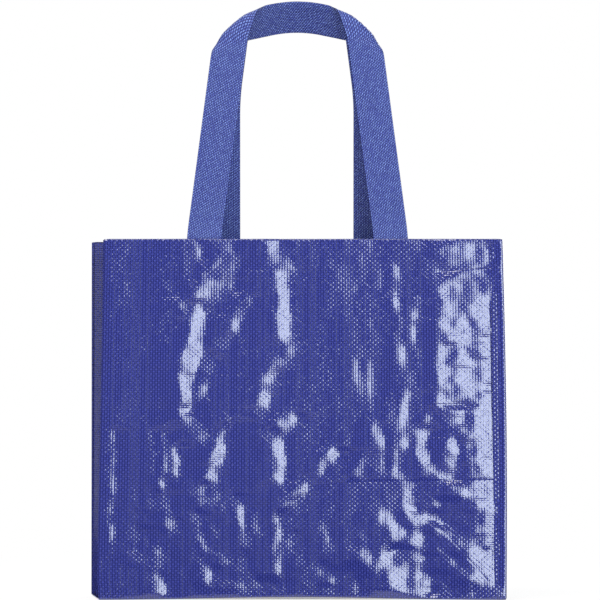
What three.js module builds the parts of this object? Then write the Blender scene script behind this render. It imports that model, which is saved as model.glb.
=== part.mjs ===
// Gusseted shopping bag of laminated woven polypropylene with two webbing handles.
// Millimetres, +Z up, front towards -Y. The origin is the middle of the base, on the surface it stands on.
import * as THREE from "three";

// Bag body
const BASE_WIDTH = 448; // side to side at the base
const MOUTH_DRAW_IN = 3; // the hem makes the mouth this much narrower
const BAG_HEIGHT = 400;
const BASE_DEPTH = 130; // front to back
const MOUTH_DEPTH = 60; // the bag stands partly open
const PANEL_RACK = 15; // the back panel stands this far to the left of the front one
const SHEET = 0.8; // thickness of the laminated sheet
const FIT_GAP = 0.3; // clearance between sewn layers
const BASE_FOLD_RADIUS = 2;
const BASE_FLAT_DEPTH = 84; // middle of the base that lies flat on the ground
const BASE_EDGE_LIFT = 3.3; // the long edges of the base bow up this far in the middle
const LIFT_WIDTH = 130; // how far to either side that bow reaches
const LIFT_HEIGHT = 60; // how far up the wall it fades out
const PANEL_BOW = 4; // the wide panels belly out this far

// Hem and seams
const HEM_DEPTH = 36; // sheet turned to the inside at the mouth
const SEAM_ALLOWANCE = 12; // edge of the gusset lapped behind the panels
const SEAM_BEND_RADIUS = 0.9;
const SEAM_AIM = 0.8; // the seam's bend turns towards this share of the half gusset
const GUSSET_DROP = 1.5; // gusset edge below the mouth, clear of the panel's folded hem

// Creases of the panels
const RELIEF_SIDE_FADE = [14, 45]; // distance from the side edge where creases end and where they are full
const RELIEF_TOP_FADE = [64, 104]; // the same below the mouth, so that the sewn handles lie on a smooth wall

// Handles
const WEBBING_WIDTH = 38;
const WEBBING_THICKNESS = 1.6;
const FRONT_LEG_SPACING = 209; // between the middles of the sewn ends
const BACK_LEG_SPACING = 166;
const FRONT_HANDLE_OFFSET = 2; // middle of the front handle, to the right
const BACK_HANDLE_OFFSET = 1.2;
const HANDLE_TAIL = 62; // sewn end inside the bag
const HANDLE_TOP = 667; // height of the front handle's upper edge
const BACK_HANDLE_RISE = 5; // the back handle reaches this much higher
const LEG_SPLAY = 7.6; // degrees that a leg leans towards the other one
const FOLD_ANGLE = 45; // degrees of the shoulder's diagonal fold above the horizontal
const FOLD_RADIUS = 6;
const CROWN_ARCH_RADIUS = 60;
const FRONT_HANDLE_LEAN = -0.052; // backward run for each millimetre of rise
const BACK_HANDLE_LEAN = -0.0875;
const LEAN_BEND_HEIGHT = 30; // height over which a leg takes up its lean above the mouth
const SPLAY_BEND_HEIGHT = 40; // height over which the back legs turn upright

// Grid resolution of the sheets
const PANEL_COLUMNS = 22;
const LOWER_WALL_ROWS = 8;
const UPPER_WALL_ROWS = 12;
const HEM_ROWS = 3;
const BASE_FLAT_ROWS = 4;
const FOLD_ROWS = 3;
const GUSSET_COLUMNS = 6; // in each half of a gusset
const GUSSET_UPPER_ROWS = 11;
const SEAM_BEND_STEPS = 3;
const WEBBING_COLUMNS = 4;
const CROWN_STEP = 9; // along the webbing, in millimetres
const SHOULDER_STEP = 4.5;
const LEG_STEP = 20;

const SHEET_BLUE = new THREE.Color(65 / 255, 74 / 255, 148 / 255);
const WEBBING_BLUE = new THREE.Color(84 / 255, 98 / 255, 165 / 255);

// The storage crease lies one base depth above the base, where the base was folded up against the wall.
const BASE_CREASE_HEIGHT = BASE_DEPTH;
const LAYER_STEP = SHEET + FIT_GAP; // from one layer of sheet to the next one lying on it
const LEAST_MITRE = 0.4; // at a sharp fold a point moves out by no more than the half thickness over this
const MOUTH_WIDTH = BASE_WIDTH - MOUTH_DRAW_IN;

const radians = THREE.MathUtils.degToRad;
const lerp = THREE.MathUtils.lerp;
const smoothstep = THREE.MathUtils.smoothstep;

// Creases and folds of the front panel, each along a line from one point to another given as across, up.
// rise is how far the sheet stands out along the line and spread is how wide the crease is.
const FRONT_CREASES = [
  { from: [-215, 110], to: [-20, 118], rise: -1.2, spread: 14 },
  { from: [-20, 118], to: [222, BASE_CREASE_HEIGHT], rise: -2.4, spread: 14 },
  { from: [-112, 345], to: [-112, 185], rise: 3.4, spread: 16 },
  { from: [-15, 350], to: [-28, 195], rise: 2.6, spread: 15 },
  { from: [-72, 198], to: [-95, 135], rise: 2.4, spread: 14 },
  { from: [-150, 190], to: [-146, 115], rise: 2.2, spread: 14 },
  { from: [116, 345], to: [125, 140], rise: 2.6, spread: 14 },
  { from: [135, 212], to: [215, 203], rise: -2.4, spread: 14 },
  { from: [-210, 207], to: [-60, 184], rise: -1.4, spread: 16 },
  { from: [84, 190], to: [98, 148], rise: 2, spread: 14 },
  { from: [124, 95], to: [146, 8], rise: 2.2, spread: 14 },
  { from: [145, 83], to: [206, 22], rise: 2.4, spread: 14 },
  { from: [-25, 90], to: [-10, 30], rise: 2, spread: 16 },
  { from: [172, 320], to: [190, 215], rise: 2.6, spread: 22 },
];
const BACK_CREASES = [
  { from: [-222, BASE_CREASE_HEIGHT], to: [222, BASE_CREASE_HEIGHT], rise: -2, spread: 14 },
  { from: [70, 345], to: [66, 205], rise: 2.6, spread: 16 },
  { from: [-98, 330], to: [-84, 190], rise: 2.4, spread: 16 },
  { from: [-150, 95], to: [-95, 25], rise: 2, spread: 15 },
  { from: [110, 100], to: [150, 30], rise: 2, spread: 15 },
];

// Distance of a point of the panel from a crease's line.
function creaseDistance(crease, x, z) {
  const [x0, z0] = crease.from;
  const [x1, z1] = crease.to;
  const along = ((x - x0) * (x1 - x0) + (z - z0) * (z1 - z0)) / ((x1 - x0) ** 2 + (z1 - z0) ** 2);
  const share = THREE.MathUtils.clamp(along, 0, 1);
  return Math.hypot(x - lerp(x0, x1, share), z - lerp(z0, z1, share));
}

const FRONT = { sign: -1, centre: PANEL_RACK / 2, creases: FRONT_CREASES };
const BACK = { sign: 1, centre: -PANEL_RACK / 2, creases: BACK_CREASES };

const wallFoot = BASE_FOLD_RADIUS + SHEET / 2; // where the straight wall starts above the base fold
const hemTop = BAG_HEIGHT - SHEET / 2 - LAYER_STEP / 2; // where the hem's fold starts

// Share of the way up from the base fold to the mouth.
const rise = (z) => Math.max(0, (z - wallFoot) / (BAG_HEIGHT - wallFoot));
const halfWidth = (z) => lerp(BASE_WIDTH, MOUTH_WIDTH, rise(z)) / 2;
const halfDepth = (z) => lerp(BASE_DEPTH, MOUTH_DEPTH, rise(z)) / 2;

// How far a wide panel stands out from its leaning plane: its belly and its creases.
function relief(wall, x, z) {
  const across = x - wall.centre;
  const fromSide = halfWidth(z) - Math.abs(across);
  const shareAcross = across / halfWidth(z);
  const belly = PANEL_BOW * (1 - shareAcross ** 2) * Math.sin(Math.PI * Math.min(1, rise(z)));
  const fade = smoothstep(fromSide, ...RELIEF_SIDE_FADE) * smoothstep(BAG_HEIGHT - z, ...RELIEF_TOP_FADE);
  const creased = wall.creases.reduce(
    (sum, crease) => sum + crease.rise * Math.exp(-((creaseDistance(crease, x, z) / crease.spread) ** 2)),
    0,
  );
  return belly + fade * creased;
}

// The long edges of the base bow up in the middle, and the wall above them follows.
function edgeLift(x, y, z) {
  const fromFlat = smoothstep(Math.abs(y), BASE_FLAT_DEPTH / 2, BASE_DEPTH / 2);
  const fade = Math.max(0, 1 - z / LIFT_HEIGHT) ** 2;
  return BASE_EDGE_LIFT * Math.exp(-((x / LIFT_WIDTH) ** 2)) * fromFlat * fade;
}

// A point of a wide panel's middle surface, moved inwards by a number of millimetres.
function wallPoint(wall, share, z, inwards = 0, narrower = 0) {
  const x = wall.centre + share * (halfWidth(z) - narrower);
  const y = wall.sign * (halfDepth(z) + relief(wall, x, z) - inwards);
  return new THREE.Vector3(x, y, z + edgeLift(x, y, z));
}

// Evenly spaced values from start to end, both included.
const steps = (start, end, count) =>
  Array.from({ length: count + 1 }, (_, i) => lerp(start, end, i / count));

// Closed solid round a grid of points: each point is moved half the thickness to either side along the sheet's
// normal, by more where the sheet is folded, so that both faces of the fold keep the thickness. The cells are split
// along diagonals that meet in the middle going up, as the diagonal folds of a gusset do.
function thickSheet(name, rows, material, thicknessAt) {
  const rowCount = rows.length;
  const columnCount = rows[0].length;
  const normalSums = rows.map((row) => row.map(() => new THREE.Vector3()));
  const faceNormals = rows.map((row) => row.map(() => []));
  const addFace = (corners) => {
    const [a, b, c] = corners.map(([i, j]) => rows[i][j]);
    const normal = new THREE.Vector3().crossVectors(b.clone().sub(a), c.clone().sub(a)).normalize();
    for (const [i, j] of corners) {
      normalSums[i][j].add(normal);
      faceNormals[i][j].push(normal);
    }
  };
  const faces = [];
  for (let i = 0; i + 1 < rowCount; i++) {
    for (let j = 0; j + 1 < columnCount; j++) {
      const [a, b, c, d] = [[i, j], [i, j + 1], [i + 1, j + 1], [i + 1, j]];
      const leftHalf = j < (columnCount - 1) / 2;
      faces.push(...(leftHalf ? [[a, b, c], [a, c, d]] : [[a, b, d], [b, c, d]]));
    }
  }
  faces.forEach(addFace);
  const positions = [];
  for (const side of [1, -1]) {
    for (let i = 0; i < rowCount; i++) {
      for (let j = 0; j < columnCount; j++) {
        const normal = normalSums[i][j].clone().normalize();
        const facing = faceNormals[i][j].reduce((sum, n) => sum + n.dot(normal), 0) / faceNormals[i][j].length;
        const reach = thicknessAt(i, j, side) / 2 / Math.max(facing, LEAST_MITRE);
        positions.push(...rows[i][j].clone().addScaledVector(normal, side * reach).toArray());
      }
    }
  }
  const at = (i, j, layer) => layer * rowCount * columnCount + i * columnCount + j;
  const index = [];
  for (const [[ai, aj], [bi, bj], [ci, cj]] of faces) {
    index.push(at(ai, aj, 0), at(bi, bj, 0), at(ci, cj, 0));
    index.push(at(ai, aj, 1), at(ci, cj, 1), at(bi, bj, 1));
  }
  // The rim joins the two faces all the way round.
  const places = rows.map((row, i) => row.map((_, j) => [i, j]));
  const rim = [
    ...places[0],
    ...places.slice(1).map((row) => row[columnCount - 1]),
    ...places[rowCount - 1].slice(0, -1).reverse(),
    ...places.slice(1, -1).map((row) => row[0]).reverse(),
  ];
  rim.forEach(([i, j], n) => {
    const [k, l] = rim[(n + 1) % rim.length];
    index.push(at(i, j, 0), at(i, j, 1), at(k, l, 0));
    index.push(at(k, l, 0), at(i, j, 1), at(k, l, 1));
  });
  const geometry = new THREE.BufferGeometry();
  geometry.setAttribute("position", new THREE.Float32BufferAttribute(positions, 3));
  geometry.setIndex(index);
  geometry.computeVertexNormals();
  const mesh = new THREE.Mesh(geometry, material);
  mesh.name = name;
  return mesh;
}

const laminate = new THREE.MeshStandardMaterial({ color: SHEET_BLUE, roughness: 0.3, metalness: 0 });
const webbing = new THREE.MeshStandardMaterial({ color: WEBBING_BLUE, roughness: 0.8, metalness: 0 });

// Front panel, base and back panel are one strip of sheet, with a hem turned to the inside at both ends.
function bodyPanel() {
  const flapInset = SEAM_ALLOWANCE + 2 * SHEET; // the turned hem stops short of the lapped gussets
  const edgeShare = 1 - (2 * RELIEF_SIDE_FADE[0]) / BASE_WIDTH;
  const shares = [-1, ...steps(-edgeShare, edgeShare, PANEL_COLUMNS), 1];
  const wallRows = (wall) => {
    const flap = steps(BAG_HEIGHT - HEM_DEPTH, hemTop, HEM_ROWS).map((z) => ({
      z,
      inwards: LAYER_STEP,
      narrower: flapInset,
    }));
    const turn = steps(Math.PI, 0, FOLD_ROWS).slice(1, -1).map((angle) => ({
      z: hemTop + (LAYER_STEP / 2) * Math.sin(angle),
      inwards: (LAYER_STEP / 2) * (1 - Math.cos(angle)),
      narrower: (flapInset * angle) / Math.PI,
    }));
    const outside = [
      ...steps(hemTop, BAG_HEIGHT - HEM_DEPTH, HEM_ROWS),
      ...steps(BAG_HEIGHT - HEM_DEPTH, BASE_CREASE_HEIGHT, UPPER_WALL_ROWS).slice(1),
      ...steps(BASE_CREASE_HEIGHT, wallFoot, LOWER_WALL_ROWS).slice(1),
    ].map((z) => ({ z }));
    return [...flap, ...turn, ...outside].map((row) =>
      shares.map((share) => wallPoint(wall, share, row.z, row.inwards, row.narrower)),
    );
  };
  const basePoint = (share, y, z) => {
    const centre = (-PANEL_RACK * y) / BASE_DEPTH;
    const x = centre + (share * BASE_WIDTH) / 2;
    return new THREE.Vector3(x, y, z + edgeLift(x, y, z));
  };
  const foldCentre = BASE_DEPTH / 2 - BASE_FOLD_RADIUS;
  const baseFold = (sign) =>
    steps(0, Math.PI / 2, FOLD_ROWS).slice(1).map((angle) => ({
      y: sign * (foldCentre + BASE_FOLD_RADIUS * Math.cos(angle)),
      z: wallFoot - BASE_FOLD_RADIUS * Math.sin(angle),
    }));
  const half = BASE_FLAT_DEPTH / 2;
  const flat = [-(half + foldCentre) / 2, ...steps(-half, half, BASE_FLAT_ROWS), (half + foldCentre) / 2];
  const base = [
    ...baseFold(FRONT.sign),
    ...flat.map((y) => ({ y, z: SHEET / 2 })),
    ...baseFold(BACK.sign).reverse(),
  ].map(({ y, z }) => shares.map((share) => basePoint(share, y, z)));
  const rows = [...wallRows(FRONT), ...base, ...wallRows(BACK).reverse()];
  return thickSheet("body_panel", rows, laminate, () => SHEET);
}

// Cross-section of a gusset at one height: the seam edges lapped behind the panels, and the sheet between them
// folded inwards. Low down the middle stays flat, as a triangle that leans in from the base; above it there is one
// crease.
function gussetSection(side, z, halfGusset) {
  const seamY = halfDepth(z) - LAYER_STEP;
  const corner = (wall) =>
    new THREE.Vector2(wall.centre + side * (halfWidth(z) - SHEET / 2), wall.sign * seamY);
  const front = corner(FRONT);
  const back = corner(BACK);
  const middle = front.clone().lerp(back, 0.5);
  const chord = back.clone().sub(front);
  const halfChord = chord.length() / 2;
  const along = chord.normalize();
  const inward = new THREE.Vector2(-side * along.y, side * along.x);
  const flatHalf = Math.max(0, halfGusset - (z - LAYER_STEP));
  const leg = halfGusset - flatHalf;
  const legRun = halfChord - flatHalf;
  const inset = Math.sqrt(Math.max(0, leg ** 2 - legRun ** 2));
  const sheetPoint = (s) => {
    const past = Math.max(0, Math.abs(s) - flatHalf);
    const share = leg > 0 ? past / leg : 0;
    const run = Math.sign(s) * (Math.min(Math.abs(s), flatHalf) + legRun * share);
    return middle.clone().addScaledVector(along, run).addScaledVector(inward, inset * (1 - share));
  };
  // The seam: flat behind the panel, then a tight bend into the gusset.
  const seam = (wall) => {
    const start = corner(wall);
    const legDirection = sheetPoint(wall.sign * halfGusset * SEAM_AIM).sub(start).normalize();
    const turn = Math.PI - Math.acos(THREE.MathUtils.clamp(-side * legDirection.x, -1, 1));
    const bendCentre = new THREE.Vector2(start.x - side * SEAM_BEND_RADIUS, start.y - wall.sign * SEAM_BEND_RADIUS);
    const bend = steps(0, turn, SEAM_BEND_STEPS).map(
      (angle) =>
        new THREE.Vector2(
          bendCentre.x + side * SEAM_BEND_RADIUS * Math.sin(angle),
          bendCentre.y + wall.sign * SEAM_BEND_RADIUS * Math.cos(angle),
        ),
    );
    return [new THREE.Vector2(start.x - side * (SEAM_ALLOWANCE - SHEET), start.y), ...bend];
  };
  const between = steps(-halfGusset, halfGusset, 2 * GUSSET_COLUMNS).slice(1, -1).map(sheetPoint);
  return [...seam(FRONT), ...between, ...seam(BACK).reverse()].map((p) => new THREE.Vector3(p.x, p.y, z));
}

// A side gusset. Its top is the hem, folded double towards the inside of the bag.
function gusset(name, side) {
  const foot = LAYER_STEP;
  const top = BAG_HEIGHT - GUSSET_DROP;
  const halfGusset = Math.hypot(BASE_DEPTH / 2 - LAYER_STEP, PANEL_RACK / 2); // as wide as the side of the base
  const heights = [
    ...steps(foot, foot + halfGusset, GUSSET_COLUMNS),
    ...steps(foot + halfGusset, BAG_HEIGHT - HEM_DEPTH, GUSSET_UPPER_ROWS).slice(1),
    ...steps(BAG_HEIGHT - HEM_DEPTH, top, HEM_ROWS).slice(1),
  ];
  const rows = heights.map((z) => gussetSection(side, z, halfGusset));
  // The seam edges stop above the fold of the base.
  const seamColumns = SEAM_BEND_STEPS + 1;
  rows[0].forEach((p, j) => {
    const inSeam = j < seamColumns || j >= rows[0].length - seamColumns;
    p.z = inSeam ? wallFoot + SHEET : p.z;
  });
  if (side > 0) rows.forEach((row) => row.reverse());
  const hemRow = heights.findIndex((z) => z > BAG_HEIGHT - HEM_DEPTH);
  const thicknessAt = (i, j, face) => {
    const inSeam = j < seamColumns || j >= rows[0].length - seamColumns;
    const doubled = i >= hemRow && !inSeam && face < 0;
    return doubled ? SHEET + 2 * LAYER_STEP : SHEET;
  };
  return thickSheet(name, rows, laminate, thicknessAt);
}

// Shape of a handle in its own upright plane. The webbing comes straight up, is rolled back over a diagonal fold at
// the shoulder, and arches over to the other shoulder. The fold's angle and the legs' splay settle how far the crown
// is tipped and how far it is turned at its ends, because webbing bends but does not stretch.
const splay = radians(LEG_SPLAY);
const foldAngle = radians(FOLD_ANGLE);
const foldToLeg = Math.PI / 2 - splay - foldAngle; // angle in the webbing between its edge and the fold
const crownTurn = Math.acos(Math.cos(foldAngle) / Math.cos(foldToLeg));
const crownTip = Math.asin(Math.tan(crownTurn) / Math.tan(foldAngle));
const rollAngle = Math.acos(-Math.cos(crownTurn) * Math.cos(crownTip));

// Directions for the left half, seen from the front: out along the crown, up across it, and out of its face.
const across = new THREE.Vector3(0, -Math.sin(crownTip), Math.cos(crownTip));
const outward = new THREE.Vector3(-1, 0, 0);
const crownFace = new THREE.Vector3(0, -Math.cos(crownTip), -Math.sin(crownTip));
// A direction turned from one direction towards another one at right angles to it.
const turned = (from, to, angle) =>
  from.clone().multiplyScalar(Math.cos(angle)).addScaledVector(to, Math.sin(angle));
const crownEndAlong = turned(outward, crownFace, crownTurn);
const crownEndFace = turned(crownFace, outward, -crownTurn);
const foldAxis = turned(crownEndAlong, across, -foldToLeg);
const foldOutward = turned(across, crownEndAlong, foldToLeg);
const archLength = CROWN_ARCH_RADIUS * crownTurn;

// A point of the webbing of the left half: s along it from the middle of the crown, w across it towards the top
// edge.
function ribbonPoint(s, w, foldStart) {
  const angle = Math.min(s, archLength) / CROWN_ARCH_RADIUS;
  const point = new THREE.Vector3()
    .addScaledVector(outward, CROWN_ARCH_RADIUS * Math.sin(angle))
    .addScaledVector(crownFace, CROWN_ARCH_RADIUS * (1 - Math.cos(angle)));
  if (s <= archLength) return point.addScaledVector(across, w);
  const run = s - archLength - foldStart;
  const past = run * Math.sin(foldToLeg) + w * Math.cos(foldToLeg);
  const beside = run * Math.cos(foldToLeg) - w * Math.sin(foldToLeg);
  const rolled = THREE.MathUtils.clamp(past / FOLD_RADIUS, 0, rollAngle);
  const straight = past - rolled * FOLD_RADIUS;
  return point
    .addScaledVector(crownEndAlong, foldStart)
    .addScaledVector(foldAxis, beside)
    .addScaledVector(foldOutward, FOLD_RADIUS * Math.sin(rolled) + straight * Math.cos(rolled))
    .addScaledVector(crownEndFace, FOLD_RADIUS * (1 - Math.cos(rolled)) + straight * Math.sin(rolled));
}

// Rise of a smooth bend: nothing before the start, then a slope of one after a run of the given length.
function bendRun(distance, length) {
  if (distance <= 0) return 0;
  return distance < length ? distance ** 2 / (2 * length) : distance - length / 2;
}

function handle({ name, wall, legSpacing, middle, top, lean }) {
  // How far the crown's middle lies above the mouth, and how long its straight ends are, so that the legs meet the
  // sewn ends at their spacing.
  const crownHeight = top - (WEBBING_WIDTH / 2) * Math.cos(crownTip) - BAG_HEIGHT;
  const toLeg = archLength + 4 * WEBBING_WIDTH; // along the webbing to a place on the leg, clear of the shoulder
  const legLine = (foldStart) => {
    const p = ribbonPoint(toLeg + foldStart, 0, foldStart);
    return -p.x + Math.tan(splay) * (p.z + crownHeight);
  };
  const spread = legLine(1) - legLine(0);
  const foldStart = (FRONT_LEG_SPACING / 2 - legLine(0)) / spread;
  const legEnd = ribbonPoint(toLeg + foldStart, 0, foldStart);
  const length = toLeg + foldStart + (legEnd.z + crownHeight + HANDLE_TAIL) / Math.cos(splay);
  const uprightBelow = (FRONT_LEG_SPACING - legSpacing) / 2 / Math.tan(splay);
  const wallLean = (-wall.sign * (BASE_DEPTH - MOUTH_DEPTH)) / 2 / (BAG_HEIGHT - wallFoot);
  const seatInwards = SHEET / 2 + LAYER_STEP + FIT_GAP + WEBBING_THICKNESS / 2;
  const place = (s, w) => {
    const p = ribbonPoint(Math.abs(s), w, foldStart);
    const aboveMouth = p.z + crownHeight;
    const inward = Math.tan(splay) * bendRun(uprightBelow - aboveMouth + SPLAY_BEND_HEIGHT / 2, SPLAY_BEND_HEIGHT);
    const x = middle + (s < 0 ? p.x + inward : -p.x - inward);
    const seated = relief(wall, x, BAG_HEIGHT + Math.min(0, aboveMouth));
    const mouthY = wall.sign * (MOUTH_DEPTH / 2 - seatInwards + seated);
    const leaning = wallLean * aboveMouth + (lean - wallLean) * bendRun(aboveMouth, LEAN_BEND_HEIGHT);
    return new THREE.Vector3(x, mouthY + p.y - legEnd.y + leaning, BAG_HEIGHT + aboveMouth);
  };
  // Stations along half of the webbing: the crown, the rolled shoulder and the leg.
  const foldReach = WEBBING_WIDTH / 2 / Math.tan(foldToLeg);
  const shoulderStart = archLength + foldStart - foldReach;
  const shoulderEnd = archLength + foldStart + foldReach + (FOLD_RADIUS * rollAngle) / Math.sin(foldToLeg);
  const stretch = (from, to, step) => steps(from, to, Math.ceil((to - from) / step)).slice(1);
  const half = [
    ...stretch(0, shoulderStart, CROWN_STEP),
    ...stretch(shoulderStart, shoulderEnd, SHOULDER_STEP),
    ...stretch(shoulderEnd, length, LEG_STEP),
  ];
  const rows = [...half.map((s) => -s).reverse(), 0, ...half].map((s) =>
    steps(-WEBBING_WIDTH / 2, WEBBING_WIDTH / 2, WEBBING_COLUMNS).map((w) => place(s, w)),
  );
  return thickSheet(name, rows, webbing, () => WEBBING_THICKNESS);
}

const bag = new THREE.Group();
bag.add(bodyPanel(), gusset("left_gusset", -1), gusset("right_gusset", 1));
bag.add(
  handle({
    name: "front_handle",
    wall: FRONT,
    legSpacing: FRONT_LEG_SPACING,
    middle: FRONT_HANDLE_OFFSET,
    top: HANDLE_TOP,
    lean: FRONT_HANDLE_LEAN,
  }),
  handle({
    name: "back_handle",
    wall: BACK,
    legSpacing: BACK_LEG_SPACING,
    middle: BACK_HANDLE_OFFSET,
    top: HANDLE_TOP + BACK_HANDLE_RISE,
    lean: BACK_HANDLE_LEAN,
  }),
);

export default bag;
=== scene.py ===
"""Looks of a gusseted shopping bag: laminated woven polypropylene with two webbing handles.

Lengths are millimetres until a mesh is written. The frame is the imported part's own: +Z up, the front towards -Y,
and the origin in the middle of the base, on the surface the bag stands on.
"""

import logging
import math
from dataclasses import dataclass, field
from enum import Enum

import bpy
import numpy as np
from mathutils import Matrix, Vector


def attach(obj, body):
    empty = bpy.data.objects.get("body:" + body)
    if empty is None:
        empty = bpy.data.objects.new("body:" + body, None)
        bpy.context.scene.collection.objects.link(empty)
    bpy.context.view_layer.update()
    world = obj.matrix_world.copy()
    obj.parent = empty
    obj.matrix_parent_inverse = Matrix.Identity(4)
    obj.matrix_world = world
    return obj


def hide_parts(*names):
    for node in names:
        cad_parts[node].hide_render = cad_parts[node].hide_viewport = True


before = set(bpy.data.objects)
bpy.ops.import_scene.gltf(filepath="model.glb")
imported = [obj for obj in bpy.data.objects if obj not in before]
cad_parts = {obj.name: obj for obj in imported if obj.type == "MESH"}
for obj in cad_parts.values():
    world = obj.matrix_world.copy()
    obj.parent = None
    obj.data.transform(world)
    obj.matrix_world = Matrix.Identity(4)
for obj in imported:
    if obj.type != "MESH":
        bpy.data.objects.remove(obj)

MM = 0.001
BODY = "root"
SHARP_ANGLE = math.radians(50)
LOG = logging.getLogger("bag")


class Wall(Enum):
    """A wide panel of the bag: which way it faces along Y."""

    FRONT = -1
    BACK = 1


class Side(Enum):
    """A narrow side of the bag, seen from the front: which way it faces along X."""

    LEFT = -1
    RIGHT = 1


# Arrays and meshes


def smoothstep(value: np.ndarray, low: float, high: float) -> np.ndarray:
    """Rises smoothly from 0 at low to 1 at high.

    Args:
        value: Numbers to place between the two limits.
        low: Where the rise starts.
        high: Where the rise ends.

    Returns:
        Three times the square minus two times the cube of the share of the way, held between 0 and 1.
    """
    share = np.clip((value - low) / (high - low), 0, 1)
    return share * share * (3 - 2 * share)


def soft_positive(value: np.ndarray, softness: float) -> np.ndarray:
    """A value where it is positive and nothing elsewhere, rounded over a distance.

    Args:
        value: Numbers of either sign.
        softness: Distance over which the corner is rounded.

    Returns:
        Half the sum of the value and the root of its square plus the softness squared.
    """
    return 0.5 * (value + np.sqrt(value**2 + softness**2))


def value_noise(x: np.ndarray, z: np.ndarray, cell: float, seed: int) -> np.ndarray:
    """Smooth noise between -1 and 1: random numbers at the corners of square cells, blended inside each.

    Args:
        x: Places across.
        z: Places upwards.
        cell: Side of a cell.
        seed: Which random numbers to use.

    Returns:
        The noise at each place.
    """
    count = 64
    corners = np.random.default_rng(seed).uniform(-1, 1, (count, count))
    column, row = np.broadcast_arrays(np.asarray(x) / cell + count, np.asarray(z) / cell + count)
    i, j = np.floor(column).astype(int), np.floor(row).astype(int)
    across = smoothstep(column - i, 0, 1)
    up = smoothstep(row - j, 0, 1)
    i, j = i % count, j % count
    i_next, j_next = (i + 1) % count, (j + 1) % count
    low = corners[i, j] * (1 - across) + corners[i_next, j] * across
    high = corners[i, j_next] * (1 - across) + corners[i_next, j_next] * across
    return low * (1 - up) + high * up


def crumple(x: np.ndarray, z: np.ndarray, size: float, seed: int) -> np.ndarray:
    """Facets of crushed film between about -1 and 1, with flat flanks and sharp ridges.

    Args:
        x: Places across.
        z: Places upwards.
        size: Usual distance between two ridges.
        seed: Which random directions and phases to use.

    Returns:
        The mean of six zigzag waves in different directions, each bent sideways by smooth noise.
    """
    rng = np.random.default_rng(seed)
    total = np.zeros(np.broadcast(x, z).shape)
    waves = 6
    for wave in range(waves):
        angle = math.pi * (wave + rng.uniform(0.1, 0.9)) / waves
        period = size * rng.uniform(0.8, 1.7)
        bend = 0.7 * size * value_noise(x, z, 2.4 * size, seed + wave + 1)
        along = (x * math.cos(angle) + z * math.sin(angle) + bend) / period + rng.uniform()
        total = total + np.abs(along % 1 - 0.5) * 4 - 1
    return total / waves


def blurred(values: np.ndarray, width: int, axis: int) -> np.ndarray:
    """Values smoothed along one axis of their grid.

    Args:
        values: The grid.
        width: Steps over which each of three running means is taken, an odd number.
        axis: Axis to smooth along.

    Returns:
        The mean of the mean of the mean, close to a bell curve, with the edge values carried on outside.
    """
    values = np.moveaxis(values, axis, 0)
    for _ in range(3):
        padded = np.concatenate([values[:1].repeat(width // 2 + 1, 0), values, values[-1:].repeat(width // 2, 0)])
        total = np.cumsum(padded, axis=0)
        values = (total[width:] - total[:-width]) / width
    return np.moveaxis(values, 0, axis)


def distance_to_line(
    x: np.ndarray, z: np.ndarray, start: tuple[float, float], end: tuple[float, float]
) -> np.ndarray:
    """Distance of each place from the line between two places.

    Args:
        x: Places across.
        z: Places upwards.
        start: One end of the line.
        end: The other end.

    Returns:
        Distances to the nearest point of the line.
    """
    step = np.subtract(end, start)
    share = np.clip(((x - start[0]) * step[0] + (z - start[1]) * step[1]) / (step @ step), 0, 1)
    return np.hypot(x - start[0] - share * step[0], z - start[1] - share * step[1])


def unit(vectors: np.ndarray) -> np.ndarray:
    """Each vector of an array divided by its length."""
    return vectors / np.maximum(np.linalg.norm(vectors, axis=-1, keepdims=True), 1e-9)


def grid_normals(points: np.ndarray) -> np.ndarray:
    """Directions square to a grid of points: the cross product of its two tangents, down the rows and across them.

    Args:
        points: Rows by columns by three.

    Returns:
        Unit vectors in the same layout.
    """
    return unit(np.cross(np.gradient(points, axis=0), np.gradient(points, axis=1)))


def sheet_piece(
    name: str,
    points: np.ndarray,
    flat: np.ndarray,
    thickness: np.ndarray | float,
    materials: list[bpy.types.Material],
) -> bpy.types.Object:
    """A closed sheet: the grid moved half its thickness to either side, with a rim round its edge.

    Args:
        name: Name of the piece.
        points: Middle surface in millimetres, rows by columns by three.
        flat: Place of each point on the sheet before it was folded, in millimetres, rows by columns by two.
        thickness: Of the sheet in millimetres, one number or one for each point.
        materials: Finish of the outer face, then of the inner face and the rim.

    Returns:
        The object, with its flat place in metres as its UV map.
    """
    rows, columns, _ = points.shape
    reach = np.broadcast_to(np.asarray(thickness, float), (rows, columns))[..., None] / 2
    normals = grid_normals(points)
    both = np.concatenate([(points + reach * normals).reshape(-1, 3), (points - reach * normals).reshape(-1, 3)])
    index = np.arange(rows * columns).reshape(rows, columns)
    a, b, c, d = index[:-1, :-1], index[:-1, 1:], index[1:, 1:], index[1:, :-1]
    outer = np.stack([a, d, c, b], axis=-1).reshape(-1, 4)
    inner = np.stack([a, b, c, d], axis=-1).reshape(-1, 4) + rows * columns
    edge = np.concatenate([index[0, :-1], index[:-1, -1], index[-1, :0:-1], index[:0:-1, 0]])
    after = np.roll(edge, -1)
    rim = np.stack([edge, after, after + rows * columns, edge + rows * columns], axis=-1)
    quads = np.concatenate([outer, inner, rim])
    places = np.tile(flat.reshape(-1, 2), (2, 1))
    piece = mesh_piece(name, both, quads, places, materials)
    slots = np.concatenate([np.zeros(len(outer), int), np.ones(len(inner) + len(rim), int)])
    piece.data.polygons.foreach_set("material_index", np.minimum(slots, len(materials) - 1))
    piece.data.update()
    return piece


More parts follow.
